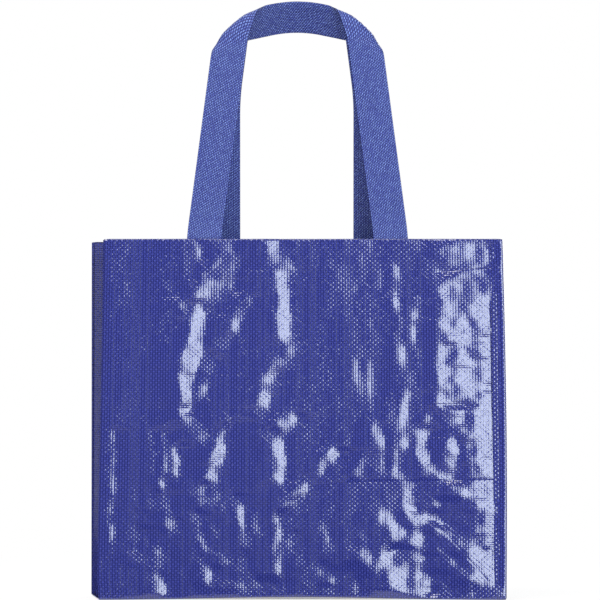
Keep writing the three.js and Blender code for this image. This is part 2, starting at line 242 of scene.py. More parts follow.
def mesh_piece(
    name: str,
    vertices: np.ndarray,
    faces: np.ndarray,
    places: np.ndarray,
    materials: list[bpy.types.Material],
) -> bpy.types.Object:
    """A smooth mesh object that rides on the bag, with sharp edges kept sharp.

    Args:
        name: Name of the piece.
        vertices: Points in millimetres.
        faces: Corners of each face, as rows of vertex numbers.
        places: Flat place of each vertex in millimetres, for the UV map.
        materials: Finishes, in the order of their slots.

    Returns:
        The object, at the origin and unturned.
    """
    mesh = bpy.data.meshes.new(name)
    mesh.from_pydata((vertices * MM).tolist(), [], faces.tolist())
    corners = np.zeros(len(mesh.loops), int)
    mesh.loops.foreach_get("vertex_index", corners)
    layer = mesh.uv_layers.new(name="flat")
    layer.data.foreach_set("uv", (places * MM)[corners].ravel())
    mesh.polygons.foreach_set("use_smooth", np.ones(len(mesh.polygons), bool))
    for material in materials:
        mesh.materials.append(material)
    mesh.set_sharp_from_angle(angle=SHARP_ANGLE)
    piece = bpy.data.objects.new(name, mesh)
    bpy.context.scene.collection.objects.link(piece)
    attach(piece, BODY)
    LOG.info("%s: %d faces", name, len(mesh.polygons))
    return piece


# Materials


def srgb(code: str) -> tuple[float, float, float, float]:
    """Linear colour with full opacity from a hex code of sRGB.

    Args:
        code: Six hex digits, such as 414A94.

    Returns:
        Red, green, blue and opacity. Each colour's share is divided by 12.92 up to 0.04045. Above that 0.055 is
        added, the sum is divided by 1.055, and the result is raised to the power of 2.4.
    """
    parts = [int(code[i : i + 2], 16) / 255 for i in (0, 2, 4)]
    linear = [p / 12.92 if p <= 0.04045 else ((p + 0.055) / 1.055) ** 2.4 for p in parts]
    return (*linear, 1.0)


class Sum(Enum):
    """What a Math node works out from its one or two inputs."""

    PLUS = "ADD"
    MINUS = "SUBTRACT"
    TIMES = "MULTIPLY"
    OVER = "DIVIDE"
    REMAINDER = "MODULO"
    LARGER = "MAXIMUM"
    FLOOR = "FLOOR"
    FRACTION = "FRACT"
    SIZE = "ABSOLUTE"
    SINE = "SINE"
    COSINE = "COSINE"


def add_node(
    tree: bpy.types.NodeTree, kind: str | Sum, *values: object, settings: dict | None = None, **inputs: object
) -> bpy.types.Node:
    """Adds a node, sets it up and links it.

    Args:
        tree: Where the node goes.
        kind: Type of the node without the words ShaderNode, or the sum that a Math node works out.
        *values: Value, socket or node for the first inputs, in their order. A node stands for its first output.
        settings: Properties of the node itself.
        **inputs: The same for other inputs, by the input's name in lower case with underscores, or by its number
            after the letter i.

    Returns:
        The new node.
    """
    is_sum = isinstance(kind, Sum)
    node = tree.nodes.new("ShaderNode" + ("Math" if is_sum else kind))
    for key, value in {**({"operation": kind.value} if is_sum else {}), **(settings or {})}.items():
        setattr(node, key, value)
    named = {socket.name.lower().replace(" ", "_"): socket for socket in reversed(node.inputs)}
    for key, value in {**{f"i{n}": value for n, value in enumerate(values)}, **inputs}.items():
        socket = node.inputs[int(key[1:])] if key[1:].isdigit() and key[0] == "i" else named[key]
        if isinstance(value, bpy.types.Node):
            value = value.outputs[0]
        if isinstance(value, bpy.types.NodeSocket):
            tree.links.new(value, socket)
        else:
            socket.default_value = value
    return node


def new_material(name: str) -> bpy.types.Material:
    """An empty material with nodes.

    Args:
        name: Name of the material.

    Returns:
        The material, with no node in it.
    """
    material = bpy.data.materials.new(name)
    material.use_nodes = True
    material.node_tree.nodes.clear()
    return material


@dataclass(frozen=True)
class TapeWeave:
    """Plain weave of flat polypropylene tapes, as the film over it shows it.

    Where an upright tape passes over a level one it stands up as a small dome, longer upwards than across. Where it
    passes under, the level tape makes a lower one. So light from one side picks out every other crossing.
    """

    pitch_across: float = 2.93
    pitch_along: float = 2.47
    dome: float = 0.105
    sunken: float = 0.35
    tape_tilt: float = 0.02
    unevenness: float = 0.8
    dome_share: float = 0.75
    first_count: float = 1000.0

    def cells(self, tree: bpy.types.NodeTree, flat: bpy.types.NodeSocket) -> tuple[bpy.types.Node, ...]:
        """Crossing that a place belongs to, and the place inside it.

        Args:
            tree: Material that the nodes belong to.
            flat: Place on the flat sheet in metres.

        Returns:
            Node that gives the crossing's whole numbers, and node that gives the place from 0 to 1.
        """
        scale = (1 / (self.pitch_across * MM), 1 / (self.pitch_along * MM), 1.0)
        start = (self.first_count, self.first_count, 0.0)
        counted = add_node(tree, "VectorMath", settings={"operation": "MULTIPLY_ADD"}, i0=flat, i1=scale, i2=start)
        whole = add_node(tree, "VectorMath", settings={"operation": "FLOOR"}, i0=counted)
        part = add_node(tree, "VectorMath", settings={"operation": "FRACTION"}, i0=counted)
        return whole, part

    def heights(
        self, tree: bpy.types.NodeTree, flat: bpy.types.NodeSocket
    ) -> tuple[bpy.types.Node, bpy.types.Node]:
        """Height of the weave as a share of a dome's height.

        Args:
            tree: Material that the nodes belong to.
            flat: Place on the flat sheet in metres.

        Returns:
            Two nodes. A crossing's dome is one minus the square of the place across, times one minus the square of
            the place along, with the lower crossings sunken. The first node gives three quarters of that plus a
            quarter of the upright tape's own arch, as painted shade for the colour: darker on the sunken crossings
            and towards the edges of each tape. The second gives the dome with each crossing a little different and
            each upright tape a little tilted, for the relief.
        """
        whole, part = self.cells(tree, flat)
        number = add_node(tree, "SeparateXYZ", i0=whole)
        inside = add_node(tree, "SeparateXYZ", i0=part)
        arches = []
        for share in (inside.outputs[0], inside.outputs[1]):
            centred = add_node(tree, Sum.MINUS, add_node(tree, Sum.TIMES, share, 2.0), 1.0)
            arches.append(add_node(tree, Sum.MINUS, 1.0, add_node(tree, Sum.TIMES, centred, centred)))
        upright = add_node(tree, Sum.TIMES, arches[0], arches[1])
        level = add_node(tree, Sum.TIMES, upright, self.sunken)
        over = add_node(tree, Sum.REMAINDER, add_node(tree, Sum.PLUS, number.outputs[0], number.outputs[1]), 2.0)
        dome = add_node(tree, "Mix", settings={"data_type": "FLOAT"}, i0=over, i2=level, i3=upright)
        crossing = add_node(tree, "TexWhiteNoise", settings={"noise_dimensions": "2D"}, vector=whole)
        uneven = add_node(
            tree, Sum.PLUS, add_node(tree, Sum.TIMES, crossing, self.unevenness), 1 - self.unevenness / 2
        )
        tape = add_node(tree, "TexWhiteNoise", settings={"noise_dimensions": "1D"}, w=number.outputs[0])
        tilt = add_node(tree, Sum.TIMES, add_node(tree, Sum.MINUS, tape, 0.5), inside.outputs[0])
        tilted = add_node(tree, Sum.TIMES, tilt, self.tape_tilt * self.pitch_across / self.dome)
        # Painted shade: this colour mask follows the weave's height, so it is darker on the sunken crossings and
        # towards the tape edges.
        dome_part = add_node(tree, Sum.TIMES, dome, self.dome_share)
        arch_part = add_node(tree, Sum.TIMES, arches[0], 1 - self.dome_share)
        shown = add_node(tree, Sum.PLUS, dome_part, arch_part)
        return shown, add_node(tree, Sum.PLUS, add_node(tree, Sum.TIMES, dome, uneven), tilted)


@dataclass(frozen=True)
class PressedLine:
    """A fine line pressed into the film, or standing out of it where the depth is negative.

    The ends are places on the front panel, as across from the middle of the bag and up.
    """

    start: tuple[float, float]
    end: tuple[float, float]
    depth: float = 0.12
    half_width: float = 0.8


FRONT_LINES = (
    # Old fold of the base, from storage
    PressedLine((60, 129), (224, 131.5), 0.28, 1.0),
    PressedLine((-60, 114), (62, 129), 0.12),
    PressedLine((-216, 112.5), (-58, 114), 0.12),
    # Imprint of the hem's lower edge
    PressedLine((160, 362), (222, 367), 0.25),
    PressedLine((-214, 364.5), (162, 363), 0.04),
    # Ridge over the lower edge of the layer inside
    PressedLine((-206, 333), (-50, 333.5), -0.05, 0.7),
    PressedLine((96, 333.5), (160, 333), -0.1, 0.7),
    # Edge of the gusset's seam, which shows through along both sides
    PressedLine((215.5, 330), (219, 20), 0.15, 0.9),
    PressedLine((-205, 380), (-210, 20), 0.08, 0.9),
    # Short cross folds
    PressedLine((156, 214.5), (200, 214), 0.25, 1.2),
    PressedLine((154, 87), (212, 20), 0.12, 1.0),
)


@dataclass(frozen=True)
class LaminateFinish:
    """Polypropylene tape fabric laminated with clear glossy film: the outer face of the bag.

    The film is smooth and follows every tape, so a lamp is mirrored in rows of dots, and in a solid patch where the
    sheet leans towards it. Colours are of the tapes under the film. They are blended towards a darker groove blue as
    painted shade where the weave lies low: on the sunken crossings and at the edges of each tape. Sizes are in
    millimetres. The panel's middle and top run place the pressed lines on the flat sheet.
    """

    name: str = "laminated_tape_fabric"
    blue: str = "3A418F"
    # Painted shade: the darker blue given to the low places of the weave.
    groove_shade_blue: str = "12164F"
    roughness: float = 0.1
    ior: float = 1.5
    mirror: float = 0.9
    weave: TapeWeave = field(default_factory=TapeWeave)
    ripple: float = 0.008
    ripple_size: float = 14.0
    ripple_roughness: float = 0.4
    colour_gain: float = 1.3
    lines: tuple[PressedLine, ...] = ()
    line_wander: float = 1.4
    wander_size: float = 1000 / 60
    line_fade: float = 6.0
    panel_middle: float = 7.5
    top_run: float = 435.9

    def pressed(self, tree: bpy.types.NodeTree, flat: bpy.types.Node, line: PressedLine) -> bpy.types.Node:
        """Height that a pressed line gives the film.

        Args:
            tree: Material that the nodes belong to.
            flat: Place on the flat sheet in metres, with its wander added.
            line: The line.

        Returns:
            Node that gives minus the depth over one plus the square of the distance over the half width, faded out
            past both ends.
        """
        start = np.array([line.start[0] - self.panel_middle, self.top_run - line.start[1]]) * MM
        end = np.array([line.end[0] - self.panel_middle, self.top_run - line.end[1]]) * MM
        length = float(np.linalg.norm(end - start))
        way = (end - start) / length
        place = add_node(tree, "VectorMath", settings={"operation": "SUBTRACT"}, i0=flat, i1=(*start, 0.0))
        along = add_node(
            tree, "VectorMath", settings={"operation": "DOT_PRODUCT"}, i0=place, i1=(*way, 0.0)
        ).outputs["Value"]
        away = add_node(
            tree, "VectorMath", settings={"operation": "DOT_PRODUCT"}, i0=place, i1=(-way[1], way[0], 0.0)
        ).outputs["Value"]
        share = add_node(tree, Sum.TIMES, away, 1 / (line.half_width * MM))
        spread = add_node(tree, Sum.PLUS, add_node(tree, Sum.TIMES, share, share), 1.0)
        groove = add_node(tree, Sum.OVER, -line.depth * MM, spread)
        fade = self.line_fade * MM
        smooth = {"interpolation_type": "SMOOTHSTEP"}
        for low, high in ((-fade, fade), (length + fade, length - fade)):
            shown = add_node(tree, "MapRange", settings=smooth, value=along, from_min=low, from_max=high)
            groove = add_node(tree, Sum.TIMES, groove, shown)
        return groove

    def build(self) -> bpy.types.Material:
        """Puts the nodes together.

        Returns:
            The finished material.
        """
        material = new_material(self.name)
        tree = material.node_tree
        flat = add_node(tree, "TexCoord").outputs["UV"]
        weave, uneven = self.weave.heights(tree, flat)
        ripple = add_node(
            tree,
            "TexNoise",
            settings={"noise_dimensions": "2D"},
            vector=flat,
            scale=1 / (self.ripple_size * MM),
            detail=1.0,
            roughness=self.ripple_roughness,
        )
        height = add_node(
            tree,
            Sum.PLUS,
            add_node(tree, Sum.TIMES, uneven, self.weave.dome * MM),
            add_node(tree, Sum.TIMES, ripple, self.ripple * self.ripple_size * MM),
        )
        if self.lines:
            drift = add_node(
                tree,
                "TexNoise",
                settings={"noise_dimensions": "2D"},
                vector=flat,
                scale=1 / (self.wander_size * MM),
                detail=1.0,
            ).outputs["Color"]
            wander = (self.line_wander * MM, self.line_wander * MM, 0.0)
            wandered = add_node(
                tree, "VectorMath", settings={"operation": "MULTIPLY_ADD"}, i0=drift, i1=wander, i2=flat
            )
            for line in self.lines:
                height = add_node(tree, Sum.PLUS, height, self.pressed(tree, wandered, line))
        bump = add_node(tree, "Bump", strength=1.0, distance=1.0, height=height)
        # Painted shade: the weave's height mask blends the tape blue towards the darker groove blue in the weave's
        # low places.
        colour = add_node(
            tree,
            "Mix",
            settings={"data_type": "RGBA", "clamp_factor": True},
            i0=add_node(tree, Sum.TIMES, weave, self.colour_gain),
            i6=srgb(self.groove_shade_blue),
            i7=srgb(self.blue),
        ).outputs[2]
        shader = add_node(
            tree,
            "BsdfPrincipled",
            base_color=colour,
            roughness=self.roughness,
            ior=self.ior,
            specular_ior_level=self.mirror,
            normal=bump,
        )
        add_node(tree, "OutputMaterial", surface=shader)
        return material


@dataclass(frozen=True)
class TapeFinish:
    """Bare polypropylene tape fabric: the inner face of the bag, with the satin of drawn tape and no film."""

    name: str = "bare_tape_fabric"
    blue: str = "39428F"
    # Painted shade: the darker blue given to the low places of the weave.
    groove_shade_blue: str = "262C70"
    roughness: float = 0.42
    ior: float = 1.49
    colour_gain: float = 1.4
    weave: TapeWeave = field(default_factory=lambda: TapeWeave(dome=0.14, sunken=0.6))

    def build(self) -> bpy.types.Material:
        """Puts the nodes together.

        Returns:
            The finished material.
        """
        material = new_material(self.name)
        tree = material.node_tree
        flat = add_node(tree, "TexCoord").outputs["UV"]
        weave, uneven = self.weave.heights(tree, flat)
        height = add_node(tree, Sum.TIMES, uneven, self.weave.dome * MM)
        bump = add_node(tree, "Bump", strength=1.0, distance=1.0, height=height)
        # Painted shade: the weave's height mask blends the tape blue towards the darker groove blue in the weave's
        # low places.
        colour = add_node(
            tree,
            "Mix",
            settings={"data_type": "RGBA", "clamp_factor": True},
            i0=add_node(tree, Sum.TIMES, weave, self.colour_gain),
            i6=srgb(self.groove_shade_blue),
            i7=srgb(self.blue),
        ).outputs[2]
        shader = add_node(
            tree, "BsdfPrincipled", base_color=colour, roughness=self.roughness, ior=self.ior, normal=bump
        )
        add_node(tree, "OutputMaterial", surface=shader)
        return material


@dataclass(frozen=True)
class WebbingFinish:
    """Woven polypropylene webbing: thick multifilament yarns in offset slanted columns, each with a painted highlight
    on its crown and painted shade in the grooves between them.
    """

    name: str = "polypropylene_webbing"
    # Painted highlight for the yarns' crowns, then the webbing's own blue, then painted shade for the grooves between
    # the yarns.
    crown_highlight_blue: str = "7189CA"
    blue: str = "2F3E90"
    groove_shade_blue: str = "0D1359"
    roughness: float = 0.55
    ior: float = 1.49
    sheen: float = 0.15
    sheen_roughness: float = 0.5
    column: float = 1.9
    row: float = 3.0
    slant: float = -0.55
    bow: float = 0.4
    variation: float = 0.5
    hump_gain: float = 1.9
    crown_highlight_start: float = 0.55
    crown_highlight_gain: float = 2.2
    first_column: float = 200.0
    first_row: float = 1000.0

    def build(self) -> bpy.types.Material:
        """Puts the nodes together.

        Returns:
            The finished material.
        """
        material = new_material(self.name)
        tree = material.node_tree
        flat = add_node(tree, "SeparateXYZ", i0=add_node(tree, "TexCoord").outputs["UV"])
        counted = add_node(tree, Sum.TIMES, flat.outputs[0], 1 / (self.column * MM))
        across = add_node(tree, Sum.PLUS, counted, self.first_column)
        column = add_node(tree, Sum.FLOOR, across)
        from_middle = add_node(tree, Sum.MINUS, add_node(tree, Sum.FRACTION, across), 0.5)
        counted = add_node(tree, Sum.TIMES, flat.outputs[1], 1 / (self.row * MM))
        along = add_node(tree, Sum.PLUS, counted, self.first_row)
        shifted = add_node(tree, Sum.PLUS, along, add_node(tree, Sum.TIMES, column, 0.5))
        slanted = add_node(tree, Sum.PLUS, shifted, add_node(tree, Sum.TIMES, from_middle, self.slant))
        row = add_node(tree, Sum.FLOOR, slanted)
        up = add_node(tree, Sum.MINUS, add_node(tree, Sum.FRACTION, slanted), 0.5)
        hump = add_node(
            tree,
            Sum.TIMES,
            add_node(tree, Sum.COSINE, add_node(tree, Sum.TIMES, from_middle, math.pi)),
            add_node(tree, Sum.COSINE, add_node(tree, Sum.TIMES, up, math.pi)),
        )
        place = add_node(tree, "CombineXYZ", i0=column, i1=row)
        noise = add_node(tree, "TexWhiteNoise", settings={"noise_dimensions": "2D"}, vector=place)
        gain = add_node(tree, Sum.PLUS, add_node(tree, Sum.TIMES, noise, self.variation), 1 - self.variation / 2)
        varied = add_node(tree, Sum.TIMES, hump, gain)
        bump = add_node(
            tree, "Bump", strength=1.0, distance=1.0, height=add_node(tree, Sum.TIMES, varied, self.bow * MM)
        )
        # Painted shade: darker towards the groove blue where each yarn's hump is low.
        dark = add_node(
            tree,
            "Mix",
            settings={"data_type": "RGBA", "clamp_factor": True},
            i0=add_node(tree, Sum.TIMES, hump, self.hump_gain),
            i6=srgb(self.groove_shade_blue),
            i7=srgb(self.blue),
        ).outputs[2]
        # Painted highlight: lighter towards the highlight blue on each yarn's crown, where the hump is high.
        crown_highlight = add_node(tree, Sum.TIMES, add_node(tree, Sum.MINUS, varied, self.crown_highlight_start), self.crown_highlight_gain)
        colour = add_node(
            tree,
            "Mix",
            settings={"data_type": "RGBA", "clamp_factor": True},
            i0=crown_highlight,
            i6=dark,
            i7=srgb(self.crown_highlight_blue),
        ).outputs[2]
        shader = add_node(
            tree,
            "BsdfPrincipled",
            base_color=colour,
            roughness=self.roughness,
            ior=self.ior,
            sheen_weight=self.sheen,
            sheen_roughness=self.sheen_roughness,
            normal=bump,
        )
        add_node(tree, "OutputMaterial", surface=shader)
        return material


@dataclass(frozen=True)
class ThreadFinish:
    """Spun polyester sewing thread: two plies twisted round each other, dull with a soft sheen."""

    name: str = "sewing_thread"
    blue: str = "4452A4"
    shaded_blue: str = "2B3480"
    roughness: float = 0.6
    sheen: float = 0.3
    twist: float = 1.1
    ply_height: float = 0.08

    def build(self) -> bpy.types.Material:
        """Puts the nodes together.

        Returns:
            The finished material.
        """
        material = new_material(self.name)
        tree = material.node_tree
        flat = add_node(tree, "SeparateXYZ", i0=add_node(tree, "TexCoord").outputs["UV"])
        run = add_node(tree, Sum.PLUS, flat.outputs[0], flat.outputs[1])
        turn = add_node(tree, Sum.TIMES, run, math.tau / (self.twist * MM))
        ply = add_node(tree, Sum.SIZE, add_node(tree, Sum.SINE, turn))
        colour = add_node(
            tree, "Mix", settings={"data_type": "RGBA"}, i0=ply, i6=srgb(self.shaded_blue), i7=srgb(self.blue)
        ).outputs[2]
        bump = add_node(
            tree, "Bump", strength=1.0, distance=1.0, height=add_node(tree, Sum.TIMES, ply, self.ply_height * MM)
        )
        shader = add_node(
            tree, "BsdfPrincipled", base_color=colour, roughness=self.roughness, sheen_weight=self.sheen, normal=bump
        )
        add_node(tree, "OutputMaterial", surface=shader)
        return material


# The panels' surface


@dataclass(frozen=True)
class Facet:
    """A strip of a panel that leans to the right, where the film mirrors the lamp.

    The ends are places on the panel, as across and up, and strength is the share of the full lean.
    """

    start: tuple[float, float]
    end: tuple[float, float]
    half_width: float
    strength: float = 1.0

    def cover(self, x: np.ndarray, z: np.ndarray, edge: float) -> np.ndarray:
        """How much each place belongs to the strip.

        Args:
            x: Places across.
            z: Places upwards.
            edge: Distance over which the strip fades.

        Returns:
            The strength within the half width of the line between the ends, fading to nothing at its edge.
        """
        away = distance_to_line(x, z, self.start, self.end)
        return self.strength * (1 - smoothstep(away, self.half_width - edge / 2, self.half_width + edge / 2))


@dataclass(frozen=True)
class Valley:
    """A narrow line pressed into a panel, or standing out of it where depth is negative."""

    start: tuple[float, float]
    end: tuple[float, float]
    depth: float
    spread: float = 2.2


FRONT_FACETS = (
    # Left streak, from the mouth down to the middle
    Facet((-114, 397), (-106, 372), 6, 0.7),
    Facet((-84, 398), (-72, 372), 12, 0.75),
    Facet((-82, 362), (-96, 332), 19, 0.95),
    Facet((-122, 374), (-118, 352), 6, 0.65),
    Facet((-124, 322), (-110, 318), 7, 1.1),
    Facet((-110, 320), (-107, 288), 9, 1.4),
    Facet((-108, 288), (-118, 262), 11, 1.15),
    Facet((-119, 262), (-120, 246), 9, 0.85),
    Facet((-121, 246), (-121, 212), 7.5, 1.25),
    Facet((-96, 262), (-104, 228), 9, 0.85),
    Facet((-56, 330), (-82, 282), 11, 0.75),
    Facet((-60, 312), (-72, 296), 5, 0.9),
    # Middle streak under the mouth
    Facet((-28, 400), (-8, 362), 11, 0.75),
    Facet((-16, 362), (-12, 292), 8, 1.05),
    Facet((14, 400), (22, 378), 7, 0.55),
    # Middle, around the height of the old base fold
    Facet((-18, 264), (-30, 240), 7, 0.8),
    Facet((-31, 244), (-36, 204), 9, 1.0),
    Facet((-16, 190), (-4, 198), 7, 0.95),
    Facet((-31, 182), (-19, 168), 8, 0.95),
    Facet((-19, 166), (-17, 136), 9, 1.1),
    Facet((-72, 199), (-84, 179), 5, 0.95),
    Facet((-78, 168), (-94, 134), 7, 1.1),
    Facet((-143, 190), (-145, 114), 4.5, 0.75),
    Facet((-131, 168), (-132, 136), 5, 1.05),
    Facet((-102, 124), (-102, 104), 5, 0.85),
    Facet((-110, 92), (-110, 80), 6, 0.85),
    Facet((-9, 104), (15, 123), 6, 0.9),
    Facet((30, 143), (45, 160), 7, 1.05),
    Facet((90, 190), (93, 146), 9, 0.75),
    Facet((69, 141), (77, 151), 6, 0.75),
    # Fine upright folds on the right
    Facet((111, 372), (113, 350), 3.5, 0.65),
    Facet((113, 342), (118, 262), 3, 0.85),
    Facet((136, 334), (134, 275), 4, 0.6),
    Facet((109, 224), (106, 198), 4, 0.6),
    Facet((123, 228), (120, 196), 4.5, 1.05),
    Facet((118, 196), (114, 138), 8, 0.9),
    # Lit field at the right, from the hem to the old base fold
    Facet((174, 384), (208, 383), 13, 0.9),
    Facet((206, 358), (212, 340), 9, 1.05),
    Facet((174, 354), (228, 357), 4, 0.9),
    Facet((174, 342), (202, 346), 14, 0.95),
    Facet((212, 334), (194, 300), 11, 1.45),
    Facet((172, 318), (178, 302), 7, 0.75),
    Facet((212, 308), (214, 134), 11, 1.6),
    Facet((182, 304), (180, 228), 26, 1.45),
    Facet((202, 300), (198, 232), 15, 1.5),
    Facet((187, 304), (186, 268), 8, 2.3),
    Facet((186, 238), (212, 224), 14, 1.6),
    Facet((152, 232), (176, 226), 8, 0.65),
    Facet((204, 214), (210, 180), 10, 1.3),
    Facet((176, 202), (200, 182), 14, 1.25),
    Facet((190, 170), (197, 140), 9, 1.0),
    Facet((150, 196), (141, 182), 8, 1.3),
    Facet((141, 182), (140, 164), 9, 1.35),
    Facet((140, 164), (151, 138), 8, 1.3),
    Facet((172, 166), (168, 138), 10.5, 1.5),
    # Below the old base fold
    Facet((180, 124), (222, 120), 10, 1.2),
    Facet((202, 116), (222, 102), 9, 1.2),
    Facet((152, 124), (158, 108), 6, 0.7),
    Facet((124, 126), (126, 108), 8, 0.85),
    Facet((128, 96), (134, 72), 8, 1.0),
    Facet((134, 72), (141, 2), 9, 1.15),
    Facet((146, 90), (178, 66), 9, 1.15),
    Facet((178, 66), (216, 24), 9, 1.3),
    Facet((214, 92), (219, 30), 6, 0.9),
    Facet((160, 50), (200, 18), 6, 0.7),
    Facet((104, 48), (126, 16), 14, 1.0),
    Facet((74, 52), (92, 34), 9, 0.85),
    Facet((98, 90), (116, 68), 8, 0.75),
    Facet((-20, 94), (-18, 32), 6, 0.95),
    Facet((-207, 88), (-205, 72), 7, 0.9),
    Facet((-206, 180), (-205, 95), 9, 0.66),
    Facet((-180, 118), (-140, 104), 7, 0.55),
    Facet((-158, 188), (-157, 135), 5, 0.65),
    Facet((-120, 202), (-104, 178), 9, 0.74),
    Facet((-112, 120), (-60, 100), 8, 0.6),
    Facet((-200, 60), (-150, 48), 8, 0.5),
    Facet((-100, 22), (-30, 14), 5, 0.55),
    Facet((-140, 84), (-132, 76), 6, 0.7),
    Facet((-112, 92), (-108, 80), 6, 0.9),
    Facet((-96, 80), (-88, 70), 5, 0.8),
    Facet((-153, 24), (-148, 2), 7, 0.9),
    Facet((-112, 70), (-72, 40), 4.5, 0.85),
    Facet((-60, 90), (-54, 66), 5, 0.8),
    Facet((-112, 50), (-94, 24), 6, 0.6),
    Facet((-180, 72), (-150, 40), 9, 0.5),
    Facet((-46, 90), (-30, 58), 4, 0.6),
    Facet((30, 80), (40, 60), 4, 0.7),
    Facet((20, 36), (44, 20), 5, 0.6),
)

BACK_FACETS = (
    Facet((-160, 360), (-172, 210), 10, 0.9),
    Facet((-150, 190), (-160, 150), 8, 0.8),
    Facet((-60, 385), (-70, 300), 7, 0.8),
    Facet((-30, 240), (-52, 180), 8, 0.9),
    Facet((40, 350), (30, 250), 7, 0.7),
    Facet((80, 210), (70, 150), 6, 0.9),
    Facet((150, 330), (140, 230), 9, 0.9),
    Facet((190, 300), (196, 160), 8, 0.8),
    Facet((-120, 105), (-90, 40), 6, 0.8),
    Facet((20, 100), (50, 40), 6, 0.8),
    Facet((150, 100), (180, 30), 6, 0.9),
)

FRONT_VALLEYS = (
    # Imprint of the hem's lower edge
    Valley((165, 362), (220, 366), 0.5, 3.4),
    # Old fold of the base, from storage
    Valley((-214, 113), (-60, 114), 0.25, 4.0),
    Valley((-60, 114), (60, 129), 0.35, 4.0),
    Valley((60, 129), (220, 130.5), 0.5, 3.2),
    # Cross folds
    Valley((158, 214), (199, 214), 0.6, 3.4),
    Valley((-212, 210), (-40, 209), 0.35, 4.0),
    Valley((-200, 184), (-60, 186), 0.3, 4.0),
    Valley((134, 98), (176, 76), 0.7, 6.0),
    Valley((150, 70), (206, 20), 0.6, 6.0),
    Valley((150, 112), (205, 84), 0.6, 7.0),
)

BACK_VALLEYS = (
    Valley((-222, 131), (222, 129), 0.6, 3.6),
    Valley((-180, 215), (-60, 205), 0.9, 4.0),
    Valley((30, 190), (170, 200), 0.9, 4.0),
)


@dataclass
class PanelRelief:
    """How far a wide panel stands out of its leaning plane, kept as a fine lattice of heights.

    The sheet falls to the right along its facets, by nearly the same slope whatever the panel's belly does there,
    and rises again to both sides of each one. Valleys and crumpled film are added to that.
    """

    facets: tuple[Facet, ...]
    valleys: tuple[Valley, ...]
    centre: float
    seed: int
    half_width: float = 224.0
    height: float = 400.0
    bow: float = 0.6
    full_lean: float = 0.205
    lean_loss: float = 0.00022
    facet_edge: float = 8.0
    waver: float = 3.5
    waver_cell: float = 13.0
    undulation: float = 0.85
    undulation_cell: float = 27.0
    undulation_stretch: float = 2.2
    fine: float = 0.32
    fine_cell: float = 9.0
    fine_stretch: float = 1.6
    end_softness: int = 5
    recovery: int = 61
    mottle: float = 0.4
    mottle_cell: float = 9.0
    low_crumple: float = 0.65
    low_crumple_size: float = 34.0
    low_zone: tuple[float, float] = (60.0, 130.0)
    small_crumple: float = 0.12
    small_crumple_low: float = 0.28
    small_crumple_size: float = 15.0
    wide_crumple: float = 0.5
    wide_crumple_size: float = 70.0
    side_fade: float = 16.0
    foot_fade: tuple[float, float] = (-2.0, 10.0)
    step: float = 1.0
    lattice: np.ndarray = field(init=False, repr=False)

    def __post_init__(self) -> None:
        """Works out the lattice."""
        x = np.arange(-self.half_width, self.half_width + self.step / 2, self.step)[:, None]
        z = np.arange(0, self.height + self.step / 2, self.step)[None, :]
        bent_x = x + self.centre + self.waver * value_noise(x, z, self.waver_cell, self.seed + 6)
        bent_z = z + self.waver * value_noise(x, z, self.waver_cell, self.seed + 7)
        cover = np.maximum.reduce([facet.cover(bent_x, bent_z, self.facet_edge) for facet in self.facets])
        cover = blurred(cover, self.end_softness, 1)
        cover = cover * (1 + self.mottle * value_noise(x, z, self.mottle_cell, self.seed + 5))
        swell = np.sin(math.pi * z / self.height) * 2 * self.bow / self.half_width**2
        fall = np.cumsum(cover * (self.full_lean - (self.lean_loss + swell) * x) * self.step, axis=0)
        relief = blurred(fall, self.recovery, 0) - fall
        for valley in self.valleys:
            away = distance_to_line(x + self.centre, z, valley.start, valley.end)
            relief = relief - valley.depth * np.exp(-((away / valley.spread) ** 2))
        wide_z, fine_z = z / self.undulation_stretch, z / self.fine_stretch
        relief = relief + self.undulation * value_noise(x, wide_z, self.undulation_cell, self.seed + 20)
        relief = relief + self.fine * value_noise(x, fine_z, self.fine_cell, self.seed + 21)
        low = 1 - smoothstep(z, *self.low_zone)
        small = self.small_crumple + self.small_crumple_low * low
        relief = relief + self.low_crumple * low * crumple(x, z, self.low_crumple_size, self.seed)
        relief = relief + small * crumple(x, z, self.small_crumple_size, self.seed + 50)
        relief = relief + self.wide_crumple * crumple(x, z, self.wide_crumple_size, self.seed + 90)
        from_side = self.half_width - np.abs(x)
        self.lattice = relief * smoothstep(from_side, 0, self.side_fade) * smoothstep(z, *self.foot_fade)

    def at(self, x: np.ndarray, z: np.ndarray) -> np.ndarray:
        """Relief at places of the panel.

        Args:
            x: Places across, from the panel's middle line.
            z: Places upwards.

        Returns:
            Heights blended between the four nearest points of the lattice.
        """
        count = np.array(self.lattice.shape) - 1
        column = np.clip((x + self.half_width) / self.step, 0, count[0] - 1e-6)
        row = np.clip(z / self.step, 0, count[1] - 1e-6)
        column, row = np.broadcast_arrays(column, row)
        i, j = column.astype(int), row.astype(int)
        across, up = column - i, row - j
        near = self.lattice[i, j] * (1 - across) + self.lattice[i + 1, j] * across
        far = self.lattice[i, j + 1] * (1 - across) + self.lattice[i + 1, j + 1] * across
        return near * (1 - up) + far * up


